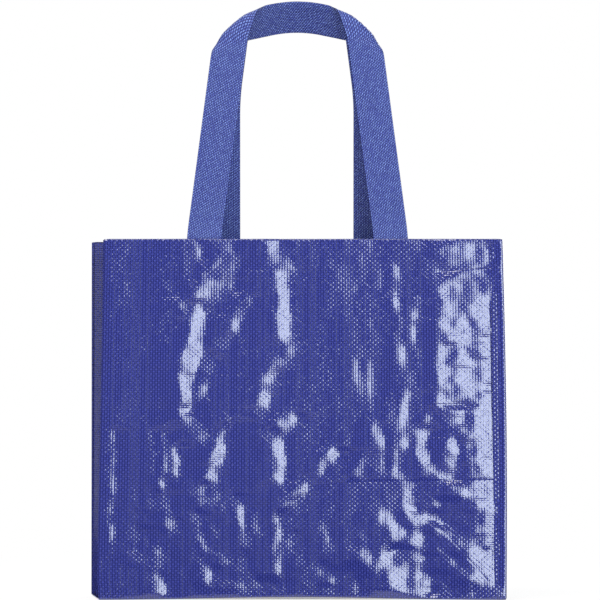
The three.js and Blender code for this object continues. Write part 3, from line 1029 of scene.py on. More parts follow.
@dataclass
class BagShape:
    """Sizes of the bag and the surfaces that its pieces share, as in the part's source."""

    base_width: float = 448.0
    mouth_draw_in: float = 3.0
    height: float = 400.0
    base_depth: float = 130.0
    mouth_depth: float = 60.0
    rack: float = 15.0
    sheet: float = 0.6
    layer_step: float = 1.1
    wall_foot: float = 2.4
    base_fold_radius: float = 2.0
    flat_depth: float = 84.0
    edge_lift: float = 3.3
    lift_width: float = 130.0
    lift_height: float = 60.0
    bow: float = 0.6
    hem_depth: float = 36.0
    hem_top: float = 399.05
    left_slip: float = 1.7
    right_bow: float = 2.2
    reliefs: dict[Wall, PanelRelief] = field(init=False, repr=False)

    def __post_init__(self) -> None:
        """Prepares the relief of both panels."""
        self.reliefs = {
            Wall.FRONT: PanelRelief(FRONT_FACETS, FRONT_VALLEYS, self.centre(Wall.FRONT), seed=11),
            Wall.BACK: PanelRelief(BACK_FACETS, BACK_VALLEYS, self.centre(Wall.BACK), seed=37),
        }

    def rise(self, z: np.ndarray) -> np.ndarray:
        """Share of the way up from the base fold to the mouth."""
        return np.clip((z - self.wall_foot) / (self.height - self.wall_foot), 0, 1)

    def half_width(self, z: np.ndarray) -> np.ndarray:
        """Half the width of a wide panel at a height."""
        return (self.base_width - self.mouth_draw_in * self.rise(z)) / 2

    def half_depth(self, z: np.ndarray) -> np.ndarray:
        """Half the distance between the wide panels at a height."""
        return (self.base_depth + (self.mouth_depth - self.base_depth) * self.rise(z)) / 2

    def centre(self, wall: Wall) -> float:
        """Middle of a panel across: the back panel stands a little to the left of the front one."""
        return -wall.value * self.rack / 2

    def side_drift(self, share: np.ndarray, z: np.ndarray) -> np.ndarray:
        """How far the sheet has slipped sideways from its straight shape: most at the side edges.

        Args:
            share: Place across the panel, from -1 at its left edge to 1 at its right one.
            z: Places upwards.

        Returns:
            On the left a drift that changes from outwards at the base to inwards at the mouth, and on the right a
            bow in the middle.
        """
        rise = self.rise(z)
        left = np.clip(-share, 0, 1) ** 3 * (self.left_slip * (2 * rise - 1)) * smoothstep(z, 0, 30)
        right = np.clip(share, 0, 1) ** 3 * self.right_bow * np.sin(math.pi * rise)
        return left + right

    def stand_out(self, wall: Wall, x: np.ndarray, z: np.ndarray) -> np.ndarray:
        """How far a panel stands out of its leaning plane.

        Args:
            wall: Which panel.
            x: Places across.
            z: Places upwards.

        Returns:
            Its belly, a parabola across times a half sine upwards, plus its relief.
        """
        across = x - self.centre(wall)
        belly = self.bow * (1 - np.clip(across / self.half_width(z), -1, 1) ** 2) * np.sin(math.pi * self.rise(z))
        return belly + self.reliefs[wall].at(across, np.clip(z, 0, self.height))

    def lift(self, x: np.ndarray, y: np.ndarray, z: np.ndarray) -> np.ndarray:
        """Bow of the base's long edges off the ground.

        Args:
            x: Places across.
            y: Places front to back.
            z: Places upwards.

        Returns:
            The full lift times a bell curve across, a smooth rise from the flat middle of the base to its edge, and
            the square of the share of the way down from where it ends on the wall.
        """
        from_flat = smoothstep(np.abs(y), self.flat_depth / 2, self.base_depth / 2)
        fade = np.maximum(0, 1 - z / self.lift_height) ** 2
        return self.edge_lift * np.exp(-((x / self.lift_width) ** 2)) * from_flat * fade


@dataclass
class BodyPanel:
    """The strip of sheet that is the front panel, the base and the back panel, with both hems turned in."""

    shape: BagShape
    finishes: list[bpy.types.Material]
    columns: int = 158
    roll_radius: float = 1.6
    roll_steps: int = 4
    front_rows: int = 152
    back_rows: int = 92
    base_rows: int = 22
    flap_rows: int = 8
    turn_rows: int = 4
    flap_inset: float = 13.6
    fold_run: float = 0.8
    buckle: float = 0.5
    buckle_size: float = 46.0
    buckle_seed: int = 71
    buckle_fade: tuple[float, float] = (2.0, 10.0)

    def columns_across(self) -> tuple[np.ndarray, np.ndarray, np.ndarray]:
        """Columns of the grid.

        Returns:
            Share of the flat width, angle through which the side edge has rolled, and which way it rolls.
        """
        roll = np.linspace(math.pi / 2, 0, self.roll_steps + 1)[:-1]
        flat = np.linspace(-1, 1, self.columns)
        share = np.concatenate([-np.ones(len(roll)), flat, np.ones(len(roll))])
        angle = np.concatenate([roll, np.zeros(self.columns), roll[::-1]])
        return share, angle, np.sign(share)

    def wall_rows(self, wall: Wall, count: int) -> tuple[np.ndarray, np.ndarray, np.ndarray]:
        """Points of one panel from the free edge of its hem, over the mouth and down to the base fold.

        Args:
            wall: Which panel.
            count: Rows of its outer face.

        Returns:
            Points, and the distance along the sheet of each row.
        """
        shape = self.shape
        turn = np.linspace(math.pi, 0, self.turn_rows + 2)[1:-1]
        half_step = shape.layer_step / 2
        flap_z = np.linspace(shape.height - shape.hem_depth, shape.hem_top, self.flap_rows)
        outside_z = np.linspace(shape.hem_top, shape.wall_foot, count)
        z = np.concatenate([flap_z, shape.hem_top + half_step * np.sin(turn), outside_z])[:, None]
        turned = np.concatenate([np.full(self.flap_rows, math.pi), turn, np.zeros(count)])[:, None]
        inwards = half_step * (1 - np.cos(turned))
        narrower = self.flap_inset * turned / math.pi
        share, angle, way = self.columns_across()
        unrolled = 1 - turned / math.pi
        reach = shape.half_width(z) - self.roll_radius
        x = share * (reach - narrower) + way * self.roll_radius * np.sin(angle)
        x = x + shape.centre(wall)
        if wall is Wall.FRONT:
            x = x + shape.side_drift(share, z)
        depth = inwards + unrolled * self.roll_radius * (1 - np.cos(angle))
        y = wall.value * (shape.half_depth(z) + shape.stand_out(wall, x, z) - depth)
        lifted = z + shape.lift(x, y, z)
        points = np.stack([x, y, lifted], axis=-1)
        lengths = np.concatenate(
            [[0], np.cumsum(np.hypot(np.diff(z[:, 0]), np.diff(inwards[:, 0])))]
        )
        return points, lengths

    def base_points(self) -> tuple[np.ndarray, np.ndarray]:
        """Points of the base between the two walls.

        Returns:
            Points, and the distance along the sheet of each row. Each long edge is a quarter circle about the base
            fold, and the flat between them carries shallow buckles near the edges.
        """
        shape = self.shape
        centre = shape.base_depth / 2 - shape.base_fold_radius
        angle = np.linspace(0, math.pi / 2, 5)[1:]
        front_y = -(centre + shape.base_fold_radius * np.cos(angle))
        fold_z = shape.wall_foot - shape.base_fold_radius * np.sin(angle)
        flat_y = np.linspace(-centre, centre, self.base_rows)[1:-1]
        y = np.concatenate([front_y, flat_y, -front_y[::-1]])[:, None]
        z = np.concatenate([fold_z, np.full(len(flat_y), fold_z[-1]), fold_z[::-1]])[:, None]
        share, roll, way = self.columns_across()
        middle = -shape.rack * y / shape.base_depth
        x = middle + share * (shape.base_width / 2 - self.roll_radius) + way * self.roll_radius * np.sin(roll)
        edge_y = shape.base_depth / 2
        buckle = self.buckle * crumple(x, y, self.buckle_size, self.buckle_seed)
        buckle = buckle * smoothstep(np.abs(y), shape.flat_depth / 2, edge_y)
        buckle = buckle * smoothstep(edge_y - np.abs(y), *self.buckle_fade)
        up = z + self.roll_radius * (1 - np.cos(roll)) + shape.lift(x, y, z) + np.maximum(buckle, 0)
        points = np.stack([x, y + 0 * x, up], axis=-1)
        lengths = np.concatenate([[0], np.cumsum(np.hypot(np.diff(y[:, 0]), np.diff(z[:, 0])))])
        return points, lengths

    def build(self) -> bpy.types.Object:
        """Builds the strip, which stands for the part's body panel.

        Returns:
            The object: front panel, base and back panel one after the other, on one grid.
        """
        front, front_run = self.wall_rows(Wall.FRONT, self.front_rows)
        back, back_run = self.wall_rows(Wall.BACK, self.back_rows)
        base, base_run = self.base_points()
        points = np.concatenate([front, base, back[::-1]])
        along = np.concatenate(
            [
                front_run,
                front_run[-1] + self.fold_run + base_run,
                front_run[-1] + base_run[-1] + 2 * self.fold_run + (back_run[-1] - back_run[::-1]),
            ]
        )
        share, angle, way = self.columns_across()
        across = share * (self.shape.base_width / 2 - self.roll_radius) + way * self.roll_radius * angle
        flat = np.stack(np.broadcast_arrays(across[None, :], along[:, None]), axis=-1)
        piece = sheet_piece("body_panel_fabric", points, flat, self.shape.sheet, self.finishes)
        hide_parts("body_panel")
        return piece


@dataclass
class Gusset:
    """A side of the bag, sewn in behind both panels and folded inwards.

    Low down the middle stays flat, as a triangle that leans in from the base. Above it there is one crease.
    """

    shape: BagShape
    side: Side
    finishes: list[bpy.types.Material]
    rows: int = 150
    low_rows: int = 34
    columns: int = 72
    seam_allowance: float = 12.0
    bend_radius: float = 0.9
    edge_gap: float = 0.9
    crease_softness: float = 1.6
    foot: float = 1.1
    drop: float = 1.5
    wrinkle: float = 0.9
    wrinkle_size: float = 42.0
    fine_wrinkle: float = 0.4
    fine_wrinkle_size: float = 17.0
    seam_fade: tuple[float, float] = (1.0, 16.0)
    foot_fade: tuple[float, float] = (4.0, 22.0)
    mouth_fade: tuple[float, float] = (355.0, 395.0)
    mouth_calm: float = 0.8
    flap_gap: float = 0.6

    def build(self) -> bpy.types.Object:
        """Builds the gusset, which stands for the part's own.

        Returns:
            The object. On each level the crease lies inwards of the line between both seams by the root of the
            square of a leg's length minus the square of its run, so the sheet keeps its width.
        """
        shape, side = self.shape, self.side.value
        half = math.hypot(shape.base_depth / 2 - shape.layer_step, shape.rack / 2)
        top = shape.height - self.drop
        low_z = np.linspace(self.foot, self.foot + half, self.low_rows)
        high_z = np.linspace(self.foot + half, top, self.rows - self.low_rows)[1:]
        z = np.concatenate([low_z, high_z])[:, None]
        seam_y = shape.half_depth(z) - shape.layer_step
        reach = shape.half_width(z) - self.edge_gap
        front = np.stack([shape.centre(Wall.FRONT) + side * reach, -seam_y], axis=-1)
        back = np.stack([shape.centre(Wall.BACK) + side * reach, seam_y], axis=-1)
        middle = (front + back) / 2
        chord = back - front
        half_chord = np.linalg.norm(chord, axis=-1) / 2
        along = chord / (2 * half_chord[..., None])
        inward = np.stack([-side * along[..., 1], side * along[..., 0]], axis=-1)
        flat_half = np.maximum(0, half - (z - self.foot))
        s = np.linspace(-half, half, self.columns)[None, :]
        leg = np.maximum(half - flat_half, 1e-6)
        leg_run = half_chord - flat_half
        inset = np.sqrt(np.maximum(0, leg**2 - leg_run**2))
        past = np.minimum(soft_positive(np.abs(s) - flat_half, self.crease_softness), leg)
        share = past / leg
        run = np.sign(s) * (np.minimum(np.abs(s), flat_half) + leg_run * share)
        run = np.where(flat_half > 0, run, np.sign(s) * leg_run * np.clip(np.abs(s) / leg, 0, 1))
        sheet_points = middle + along * run[..., None] + inward * (inset * (1 - share))[..., None]
        fade = smoothstep(half - np.abs(s), *self.seam_fade) * smoothstep(z, *self.foot_fade)
        fade = fade * (1 - self.mouth_calm * smoothstep(z, *self.mouth_fade))
        wide_wrinkle = crumple(s + 300 * side, z, self.wrinkle_size, 90 + side)
        fine_wrinkle = self.fine_wrinkle * crumple(s, z, self.fine_wrinkle_size, 120 + side)
        wrinkle = self.wrinkle * fade * (wide_wrinkle + fine_wrinkle)
        sheet_points = sheet_points + inward * wrinkle[..., None]
        front_seam = self.seam(Wall.FRONT, front, sheet_points)
        back_seam = self.seam(Wall.BACK, back, sheet_points)[:, ::-1]
        points_2d = np.concatenate([front_seam, sheet_points[:, 1:-1], back_seam], axis=1)
        height = np.broadcast_to(z, points_2d.shape[:2]).copy()
        seam_columns = points_2d.shape[1] - self.columns + 2
        seam = np.zeros(points_2d.shape[1], bool)
        seam[: seam_columns // 2] = True
        seam[-(seam_columns // 2) :] = True
        height[:, seam] = np.maximum(height[:, seam], shape.wall_foot + shape.sheet)
        points = np.concatenate([points_2d, height[..., None]], axis=-1)
        steps = np.linalg.norm(np.diff(points_2d[self.rows // 2], axis=0), axis=-1)
        across = np.concatenate([[0], np.cumsum(steps)])
        across = across - across[-1] / 2
        flat = np.stack(np.broadcast_arrays(across[None, :], z), axis=-1)
        if self.side is Side.LEFT:
            points, flat = points[:, ::-1], flat[:, ::-1]
        points, flat = points[::-1], flat[::-1]
        piece = sheet_piece(f"{self.side.name.lower()}_gusset_fabric", points, flat, shape.sheet, self.finishes)
        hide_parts(f"{self.side.name.lower()}_gusset")
        return piece

    def seam(self, wall: Wall, corner: np.ndarray, sheet_points: np.ndarray) -> np.ndarray:
        """The seam edge: flat behind the panel, then a tight bend into the gusset.

        Args:
            wall: Which panel it is sewn to.
            corner: Where the seam meets the side, for each row.
            sheet_points: The gusset's own points, towards which the bend turns.

        Returns:
            Points for each row, from the free edge to the end of the bend.
        """
        side = self.side.value
        aim_column = 8 if wall is Wall.FRONT else -9
        direction = unit(sheet_points[:, aim_column] - corner[:, 0])
        turn = math.pi - np.arccos(np.clip(-side * direction[:, 0], -1, 1))
        bend = np.linspace(0, 1, 6)[None, :] * turn[:, None]
        centre = corner[:, 0] - np.array([side * self.bend_radius, wall.value * self.bend_radius])
        x = centre[:, :1] + side * self.bend_radius * np.sin(bend)
        y = centre[:, 1:] + wall.value * self.bend_radius * np.cos(bend)
        flap = np.linspace(self.seam_allowance, self.bend_radius + self.flap_gap, 4)[None, :]
        flap_x = corner[:, 0, :1] - side * flap
        flap_y = np.broadcast_to(corner[:, 0, 1:], flap_x.shape)
        return np.stack([np.concatenate([flap_x, x], axis=1), np.concatenate([flap_y, y], axis=1)], axis=-1)


# Handles


@dataclass
class Handle:
    """A loop of webbing: up from the mouth, rolled back over a diagonal fold at the shoulder, and arched across.

    The fold's angle and the legs' splay settle how far the crown is tipped and how far it is turned at its ends,
    because webbing bends but does not stretch.
    """

    shape: BagShape
    name: str
    wall: Wall
    finish: bpy.types.Material
    leg_spacing: float
    middle: float
    top: float
    lean: float
    front_spacing: float = 209.0
    width: float = 38.0
    thickness: float = 1.6
    tail: float = 62.0
    splay: float = math.radians(7.6)
    fold_angle: float = math.radians(45)
    fold_radius: float = 6.0
    arch_radius: float = 60.0
    lean_bend: float = 30.0
    splay_bend: float = 40.0
    ease_turn: float = 11.0
    ease_swell: float = 0.28
    swell_rise: tuple[float, float] = (-26.0, 12.0)
    swell_fall: tuple[float, float] = (70.0, 118.0)
    turn_rise: tuple[float, float] = (-20.0, 118.0)
    edge_probe: float = 9.0
    columns: int = 19
    step: float = 2.2
    edge_bunching: float = 0.94
    edge_thickness: float = 0.25
    sheet_half: float = 0.4
    layer_gap: float = 0.3
    sway: float = 0.5
    sway_length: float = 45.0
    sway_rise: tuple[float, float] = (10.0, 60.0)

    def __post_init__(self) -> None:
        """Works out the directions of the left half, seen from the front."""
        self.fold_to_leg = math.pi / 2 - self.splay - self.fold_angle
        turn = math.acos(math.cos(self.fold_angle) / math.cos(self.fold_to_leg))
        tip = math.asin(math.tan(turn) / math.tan(self.fold_angle))
        self.crown_tip = tip
        self.roll_angle = math.acos(-math.cos(turn) * math.cos(tip))
        self.outward = np.array([-1.0, 0.0, 0.0])
        self.across = np.array([0.0, -math.sin(tip), math.cos(tip)])
        self.face = np.array([0.0, -math.cos(tip), -math.sin(tip)])
        self.end_along = math.cos(turn) * self.outward + math.sin(turn) * self.face
        self.end_face = math.cos(turn) * self.face - math.sin(turn) * self.outward
        self.fold_axis = math.cos(self.fold_to_leg) * self.end_along - math.sin(self.fold_to_leg) * self.across
        self.fold_out = math.sin(self.fold_to_leg) * self.end_along + math.cos(self.fold_to_leg) * self.across
        self.arch_length = self.arch_radius * turn
        self.to_leg = self.arch_length + 4 * self.width

    def past_fold(self, s: np.ndarray, w: np.ndarray, fold_start: float) -> np.ndarray:
        """Distance beyond the line where the fold begins, negative on the crown."""
        run = s - self.arch_length - fold_start
        return run * math.sin(self.fold_to_leg) + w * math.cos(self.fold_to_leg)

    def eased(self, p: np.ndarray, past: np.ndarray, fold_start: float) -> np.ndarray:
        """Webbing pulled round the shoulder, where it gives a little instead of folding dead straight.

        Args:
            p: Points of the left half.
            past: Distance of each point beyond the fold.
            fold_start: Length of the crown's straight end before the fold.

        Returns:
            The points, with the front layer turned inwards and pushed outwards about the inner corner of the
            shoulder, by shares that grow from the leg to the crown.
        """
        at_leg = np.array([0.0, self.edge_probe]) + self.to_leg + fold_start
        at_crown = np.array([1e-6, self.edge_probe]) + self.arch_length
        leg, further = self.ribbon(at_leg, np.array(self.width / 2), fold_start)
        crown, end = self.ribbon(at_crown, np.array(-self.width / 2), fold_start)
        up_leg, along_crown = (leg - further)[[0, 2]], (end - crown)[[0, 2]]
        share = np.linalg.solve(np.stack([up_leg, -along_crown], axis=1), (crown - leg)[[0, 2]])
        corner = leg[[0, 2]] + share[0] * up_leg
        out, up = corner[0] - p[..., 0], p[..., 2] - corner[1]
        angle, radius = np.degrees(np.arctan2(up, out)), np.hypot(out, up)
        front = smoothstep(past, -self.fold_radius, self.fold_radius * 1.5)
        swell = smoothstep(angle, *self.swell_rise) * (1 - smoothstep(angle, *self.swell_fall))
        angle = np.radians(angle + front * self.ease_turn * smoothstep(angle, *self.turn_rise))
        radius = radius * (1 + front * self.ease_swell * swell)
        moved = np.stack([corner[0] - radius * np.cos(angle), p[..., 1], corner[1] + radius * np.sin(angle)], axis=-1)
        return np.where((past > -self.fold_radius)[..., None], moved, p)

    def ribbon(self, s: np.ndarray, w: np.ndarray, fold_start: float) -> np.ndarray:
        """Points of the webbing's left half.

        Args:
            s: Distance along the webbing from the middle of the crown.
            w: Distance across it, towards the crown's top edge.
            fold_start: Length of the crown's straight end before the fold.

        Returns:
            On the arch, a turn about an axis across the webbing. Past it, a roll about the fold's axis by the
            distance beyond the fold over its radius, and then straight on.
        """
        s, w = np.broadcast_arrays(s, w)
        angle = np.minimum(s, self.arch_length) / self.arch_radius
        arch = (
            self.outward * (self.arch_radius * np.sin(angle))[..., None]
            + self.face * (self.arch_radius * (1 - np.cos(angle)))[..., None]
        )
        run = s - self.arch_length - fold_start
        past = self.past_fold(s, w, fold_start)
        beside = run * math.cos(self.fold_to_leg) - w * math.sin(self.fold_to_leg)
        rolled = np.clip(past / self.fold_radius, 0, self.roll_angle)
        straight = past - rolled * self.fold_radius
        rolled_out = self.fold_radius * np.sin(rolled) + straight * np.cos(rolled)
        rolled_face = self.fold_radius * (1 - np.cos(rolled)) + straight * np.sin(rolled)
        beyond = (
            self.end_along * fold_start
            + self.fold_axis * beside[..., None]
            + self.fold_out * rolled_out[..., None]
            + self.end_face * rolled_face[..., None]
        )
        on_arch = (s <= self.arch_length)[..., None]
        return arch + np.where(on_arch, self.across * w[..., None], beyond)

    @staticmethod
    def bend_run(distance: np.ndarray, length: float) -> np.ndarray:
        """Rise of a smooth bend: nothing before the start, and a slope of one after the given length."""
        early = distance**2 / (2 * length)
        return np.where(distance <= 0, 0, np.where(distance < length, early, distance - length / 2))

    def surface(self) -> tuple[np.ndarray, np.ndarray]:
        """Middle surface of the webbing in place.

        Returns:
            Points, and their place on the flat webbing.
        """
        shape, wall = self.shape, self.wall
        crown_height = self.top - self.width / 2 * math.cos(self.crown_tip) - shape.height
        to_leg = self.to_leg

        def leg_line(fold_start: float) -> float:
            """Where the leg's line meets the mouth's height, for a length of the crown's straight end."""
            p = self.ribbon(np.array(to_leg + fold_start), np.array(0.0), fold_start)
            return float(-p[0] + math.tan(self.splay) * (p[2] + crown_height))

        fold_start = (self.front_spacing / 2 - leg_line(0)) / (leg_line(1) - leg_line(0))
        leg_end = self.ribbon(np.array(to_leg + fold_start), np.array(0.0), fold_start)
        length = to_leg + fold_start + (leg_end[2] + crown_height + self.tail) / math.cos(self.splay)
        upright_below = (self.front_spacing - self.leg_spacing) / 2 / math.tan(self.splay)
        depth_fall = (shape.base_depth - shape.mouth_depth) / 2 / (shape.height - shape.wall_foot)
        wall_lean = -wall.value * depth_fall
        seat = self.sheet_half + shape.layer_step + self.layer_gap + self.thickness / 2
        count = int(length / self.step)
        s = np.linspace(-length, length, 2 * count + 1)[:, None]
        bend = np.linspace(-1, 1, self.columns)
        quarter = math.pi / 2 * self.edge_bunching
        w = (self.width / 2 * np.sin(bend * quarter) / math.sin(quarter))[None, :]
        p = self.ribbon(np.abs(s), w, fold_start)
        p = self.eased(p, self.past_fold(np.abs(s), w, fold_start), fold_start)
        above = p[..., 2] + crown_height
        inward = math.tan(self.splay) * self.bend_run(
            upright_below - above + self.splay_bend / 2, self.splay_bend
        )
        x = self.middle + np.where(s < 0, p[..., 0] + inward, -p[..., 0] - inward)
        seated = shape.stand_out(wall, x, shape.height + np.minimum(0, above))
        mouth_y = wall.value * (shape.mouth_depth / 2 - seat + seated)
        leaning = wall_lean * above + (self.lean - wall_lean) * self.bend_run(above, self.lean_bend)
        y = mouth_y + p[..., 1] - leg_end[1] + leaning
        sway = self.sway * value_noise(s, 0 * s, self.sway_length, 7 + wall.value)
        sway = sway * smoothstep(above, *self.sway_rise)
        points = np.stack([x, y + sway, shape.height + above], axis=-1)
        flat = np.stack(np.broadcast_arrays(w, s), axis=-1)
        return points, flat

    def build(self) -> bpy.types.Object:
        """Builds the handle, which stands for the part's own.

        Returns:
            The object. Its thickness falls off towards both woven edges, as the root of one minus the sixth power
            of the share of the way to the edge.
        """
        points, flat = self.surface()
        share = np.abs(flat[..., 0]) / (self.width / 2)
        full = np.sqrt(np.maximum(0, 1 - share**6))
        thickness = self.thickness * (self.edge_thickness + (1 - self.edge_thickness) * full)
        piece = sheet_piece(f"{self.name}_webbing", points, flat, thickness, [self.finish])
        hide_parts(self.name)
        return piece


@dataclass
class Stitching:
    """Rows of lockstitch: short rounded lengths of thread lying on a surface."""

    name: str
    finish: bpy.types.Material
    length: float = 3.0
    pitch: float = 3.8
    radius: float = 0.28
    end_radius: float = 0.12
    rings: int = 5
    sides: int = 6

    def build(self, rows: list[tuple[np.ndarray, np.ndarray]]) -> bpy.types.Object:
        """The stitches of all rows as one piece.

        Args:
            rows: For each row of stitches, points along it and the surface's direction there.

        Returns:
            The object. A stitch is a six-sided tube, closed by two halves of a hexagon at each end, whose radius
            falls off as the root of one minus the fourth power of the share of the way to its end. It is bowed up
            off the surface by one minus the square of that share.
        """
        vertices, faces, places = [], [], []
        share = np.linspace(-1, 1, self.rings)
        turn = np.linspace(0, math.tau, self.sides, endpoint=False)
        index = np.arange(self.rings * self.sides).reshape(self.rings, self.sides)
        after = np.roll(index, -1, axis=1)
        tube = np.stack([index[:-1], after[:-1], after[1:], index[1:]], axis=-1).reshape(-1, 4)
        halves = [[0, 1, 2, 3], [0, 3, 4, 5]]
        tube = np.concatenate([tube, index[-1][halves], index[0][halves][:, ::-1]])
        total = 0
        for line, normal in rows:
            run = np.concatenate([[0], np.cumsum(np.linalg.norm(np.diff(line, axis=0), axis=1))])
            count = max(1, int(run[-1] / self.pitch))
            places_along = (np.arange(count) + 0.5) * run[-1] / count
            spot = np.stack([np.interp(places_along, run, line[:, k]) for k in range(3)], axis=-1)
            ahead = np.stack([np.interp(places_along + 0.5, run, line[:, k]) for k in range(3)], axis=-1)
            behind = np.stack([np.interp(places_along - 0.5, run, line[:, k]) for k in range(3)], axis=-1)
            way = unit(ahead - behind)
            out = unit(np.stack([np.interp(places_along, run, normal[:, k]) for k in range(3)], axis=-1))
            aside = unit(np.cross(way, out))
            thin = self.radius * np.sqrt(np.maximum(self.end_radius, 1 - share**4))
            bow = self.radius * (1 - share**2)
            ring = (
                way[:, None, None] * (share * self.length / 2)[None, :, None, None]
                + out[:, None, None] * (bow[:, None] + thin[:, None] * np.cos(turn))[None, ..., None]
                + aside[:, None, None] * (thin[:, None] * np.sin(turn))[None, ..., None]
            )
            vertices.append((spot[:, None, None] + ring).reshape(-1, 3))
            offsets = total + np.arange(count)[:, None, None] * self.rings * self.sides
            faces.append((tube[None] + offsets).reshape(-1, 4))
            ends = np.broadcast_to((share * self.length / 2)[:, None], (self.rings, self.sides))
            around = np.broadcast_to(turn * self.radius, (self.rings, self.sides))
            places.append(np.tile(np.stack([ends, around], axis=-1).reshape(-1, 2), (count, 1)))
            total += count * self.rings * self.sides
        piece = mesh_piece(
            self.name, np.concatenate(vertices), np.concatenate(faces), np.concatenate(places), [self.finish]
        )
        return piece


# Camera, lamps and floor


@dataclass
class Studio:
    """White floor and backdrop, soft lamps, black cards and the camera."""

    camera_place: tuple[float, float, float] = (4.8, -4030.0, 158.0)
    camera_aim: tuple[float, float, float] = (4.8, -30.0, 331.7)
    focal_length: float = 216.0
    ambient: float = 0.2
    room: float = 0.12
    behind_bag: tuple[float, float] = (0.6, 0.95)
    white: str = "FFFFFF"
    floor_white: str = "F9F9F9"
    card_black: str = "211D27"
    near_share: float = 0.88
    near_floor: float = 0.4
    far_floor: float = 1.6

    def aim(self, thing: bpy.types.Object, target: tuple[float, float, float]) -> None:
        """Turns a lamp or camera towards a place, kept level."""
        away = Vector(target) * MM - thing.location
        thing.rotation_euler = away.to_track_quat("-Z", "Y").to_euler()

    def camera(self) -> None:
        """The camera, far off and nearly level, as the bag is seen square from the front."""
        data = bpy.data.cameras.new("camera")
        data.lens = self.focal_length
        data.clip_end = 100
        thing = bpy.data.objects.new("camera", data)
        thing.location = Vector(self.camera_place) * MM
        self.aim(thing, self.camera_aim)
        bpy.context.scene.collection.objects.link(thing)
        bpy.context.scene.camera = thing

    def softbox(
        self,
        name: str,
        place: tuple[float, float, float],
        target: tuple[float, float, float],
        size: tuple[float, float],
        brightness: float,
        colour: tuple[float, float, float],
    ) -> None:
        """A flat rectangular lamp.

        Args:
            name: Name of the lamp.
            place: Middle of the lamp.
            target: Where it faces.
            size: Width and height.
            brightness: Of its surface, where 1 is white.
            colour: Of its light.
        """
        data = bpy.data.lights.new(name, "AREA")
        data.shape = "RECTANGLE"
        data.size, data.size_y = size[0] * MM, size[1] * MM
        data.energy = brightness * math.pi * data.size * data.size_y
        data.color = colour
        thing = bpy.data.objects.new(name, data)
        thing.location = Vector(place) * MM
        self.aim(thing, target)
        thing.visible_camera = False
        bpy.context.scene.collection.objects.link(thing)

    def lamps(self) -> None:
        """A tall key lamp to the right of the camera, and weaker ones that shape the other sides."""
        middle = (0.0, 0.0, 250.0)
        daylight, neutral = (0.83, 0.91, 1.0), (1.0, 1.0, 1.0)
        lamps = (
            ("key", (2035.0, -4520.0, 1300.0), (2150.0, 2500.0), 8.3, daylight),
            ("front_top", (-900.0, -2300.0, 3400.0), (3200.0, 1600.0), 9.0, neutral),
            ("back_right", (1500.0, 2500.0, 1400.0), (1500.0, 2400.0), 5.0, neutral),
            ("back_top", (-900.0, 2200.0, 3300.0), (2400.0, 1500.0), 4.0, neutral),
        )
        for name, place, size, brightness, colour in lamps:
            self.softbox(name, place, middle, size, brightness, colour)

    def world(self) -> None:
        """White where the backdrop hangs, and otherwise a plain grey light from all round.

        The camera and clear things see the white all round. Shiny things see it behind the bag only, and the dimmer
        room elsewhere, so the film keeps its colour.
        """
        world = bpy.data.worlds.new("studio")
        world.use_nodes = True
        tree = world.node_tree
        tree.nodes.clear()
        path = add_node(tree, "LightPath")
        glossy = path.outputs["Is Glossy Ray"]
        way = add_node(tree, "SeparateXYZ", i0=add_node(tree, "TexCoord").outputs["Generated"])
        behind = add_node(
            tree,
            "MapRange",
            settings={"interpolation_type": "SMOOTHSTEP"},
            value=way.outputs[1],
            from_min=self.behind_bag[0],
            from_max=self.behind_bag[1],
        )
        seen = add_node(tree, Sum.LARGER, path.outputs["Is Camera Ray"], path.outputs["Is Transmission Ray"])
        seen = add_node(tree, Sum.LARGER, seen, add_node(tree, Sum.TIMES, glossy, behind))
        dimmer = add_node(tree, Sum.TIMES, glossy, self.ambient - self.room)
        light = add_node(tree, Sum.LARGER, seen, add_node(tree, Sum.MINUS, self.ambient, dimmer))
        plain = add_node(tree, "Background", color=srgb(self.white), strength=light)
        add_node(tree, "OutputWorld", surface=plain)
        bpy.context.scene.world = world

    def board(
        self, name: str, corners: list[tuple[float, float, float]], material: bpy.types.Material
    ) -> bpy.types.Object:
        """A flat board that belongs to the studio.

        Args:
            name: Name of the board.
            corners: Its four corners.
            material: Its finish.

        Returns:
            The object.
        """
        mesh = bpy.data.meshes.new(name)
        mesh.from_pydata([[c * MM for c in corner] for corner in corners], [], [(0, 1, 2, 3)])
        mesh.materials.append(material)
        thing = bpy.data.objects.new(name, mesh)
        bpy.context.scene.collection.objects.link(thing)
        return thing

    def floor(self) -> None:
        """A wide matt white floor that keeps the bag's shadow and turns into the white backdrop further off."""
        material = new_material("white_floor")
        tree = material.node_tree
        path = add_node(tree, "LightPath")
        matt = add_node(tree, "BsdfDiffuse", color=srgb(self.floor_white))
        bright = add_node(tree, "Emission", color=srgb(self.white), strength=1.0)
        place = add_node(tree, "TexCoord").outputs["Object"]
        away = add_node(tree, "VectorMath", settings={"operation": "LENGTH"}, i0=place).outputs["Value"]
        whiter = add_node(
            tree,
            "MapRange",
            value=away,
            from_min=self.near_floor,
            from_max=self.far_floor,
            to_min=self.near_share,
            to_max=1.0,
        )
        seen = add_node(tree, Sum.LARGER, path.outputs["Is Camera Ray"], path.outputs["Is Transmission Ray"])
        seen = add_node(tree, Sum.LARGER, seen, path.outputs["Is Glossy Ray"])
        share = add_node(tree, Sum.TIMES, seen, whiter)
        mixed = add_node(tree, "MixShader", i0=share, i1=matt, i2=bright)
        add_node(tree, "OutputMaterial", surface=mixed)
        half, under = 12000.0, -0.2
        corners = [(-half, -half, under), (half, -half, under), (half, half, under), (-half, half, under)]
        self.board("floor", corners, material)

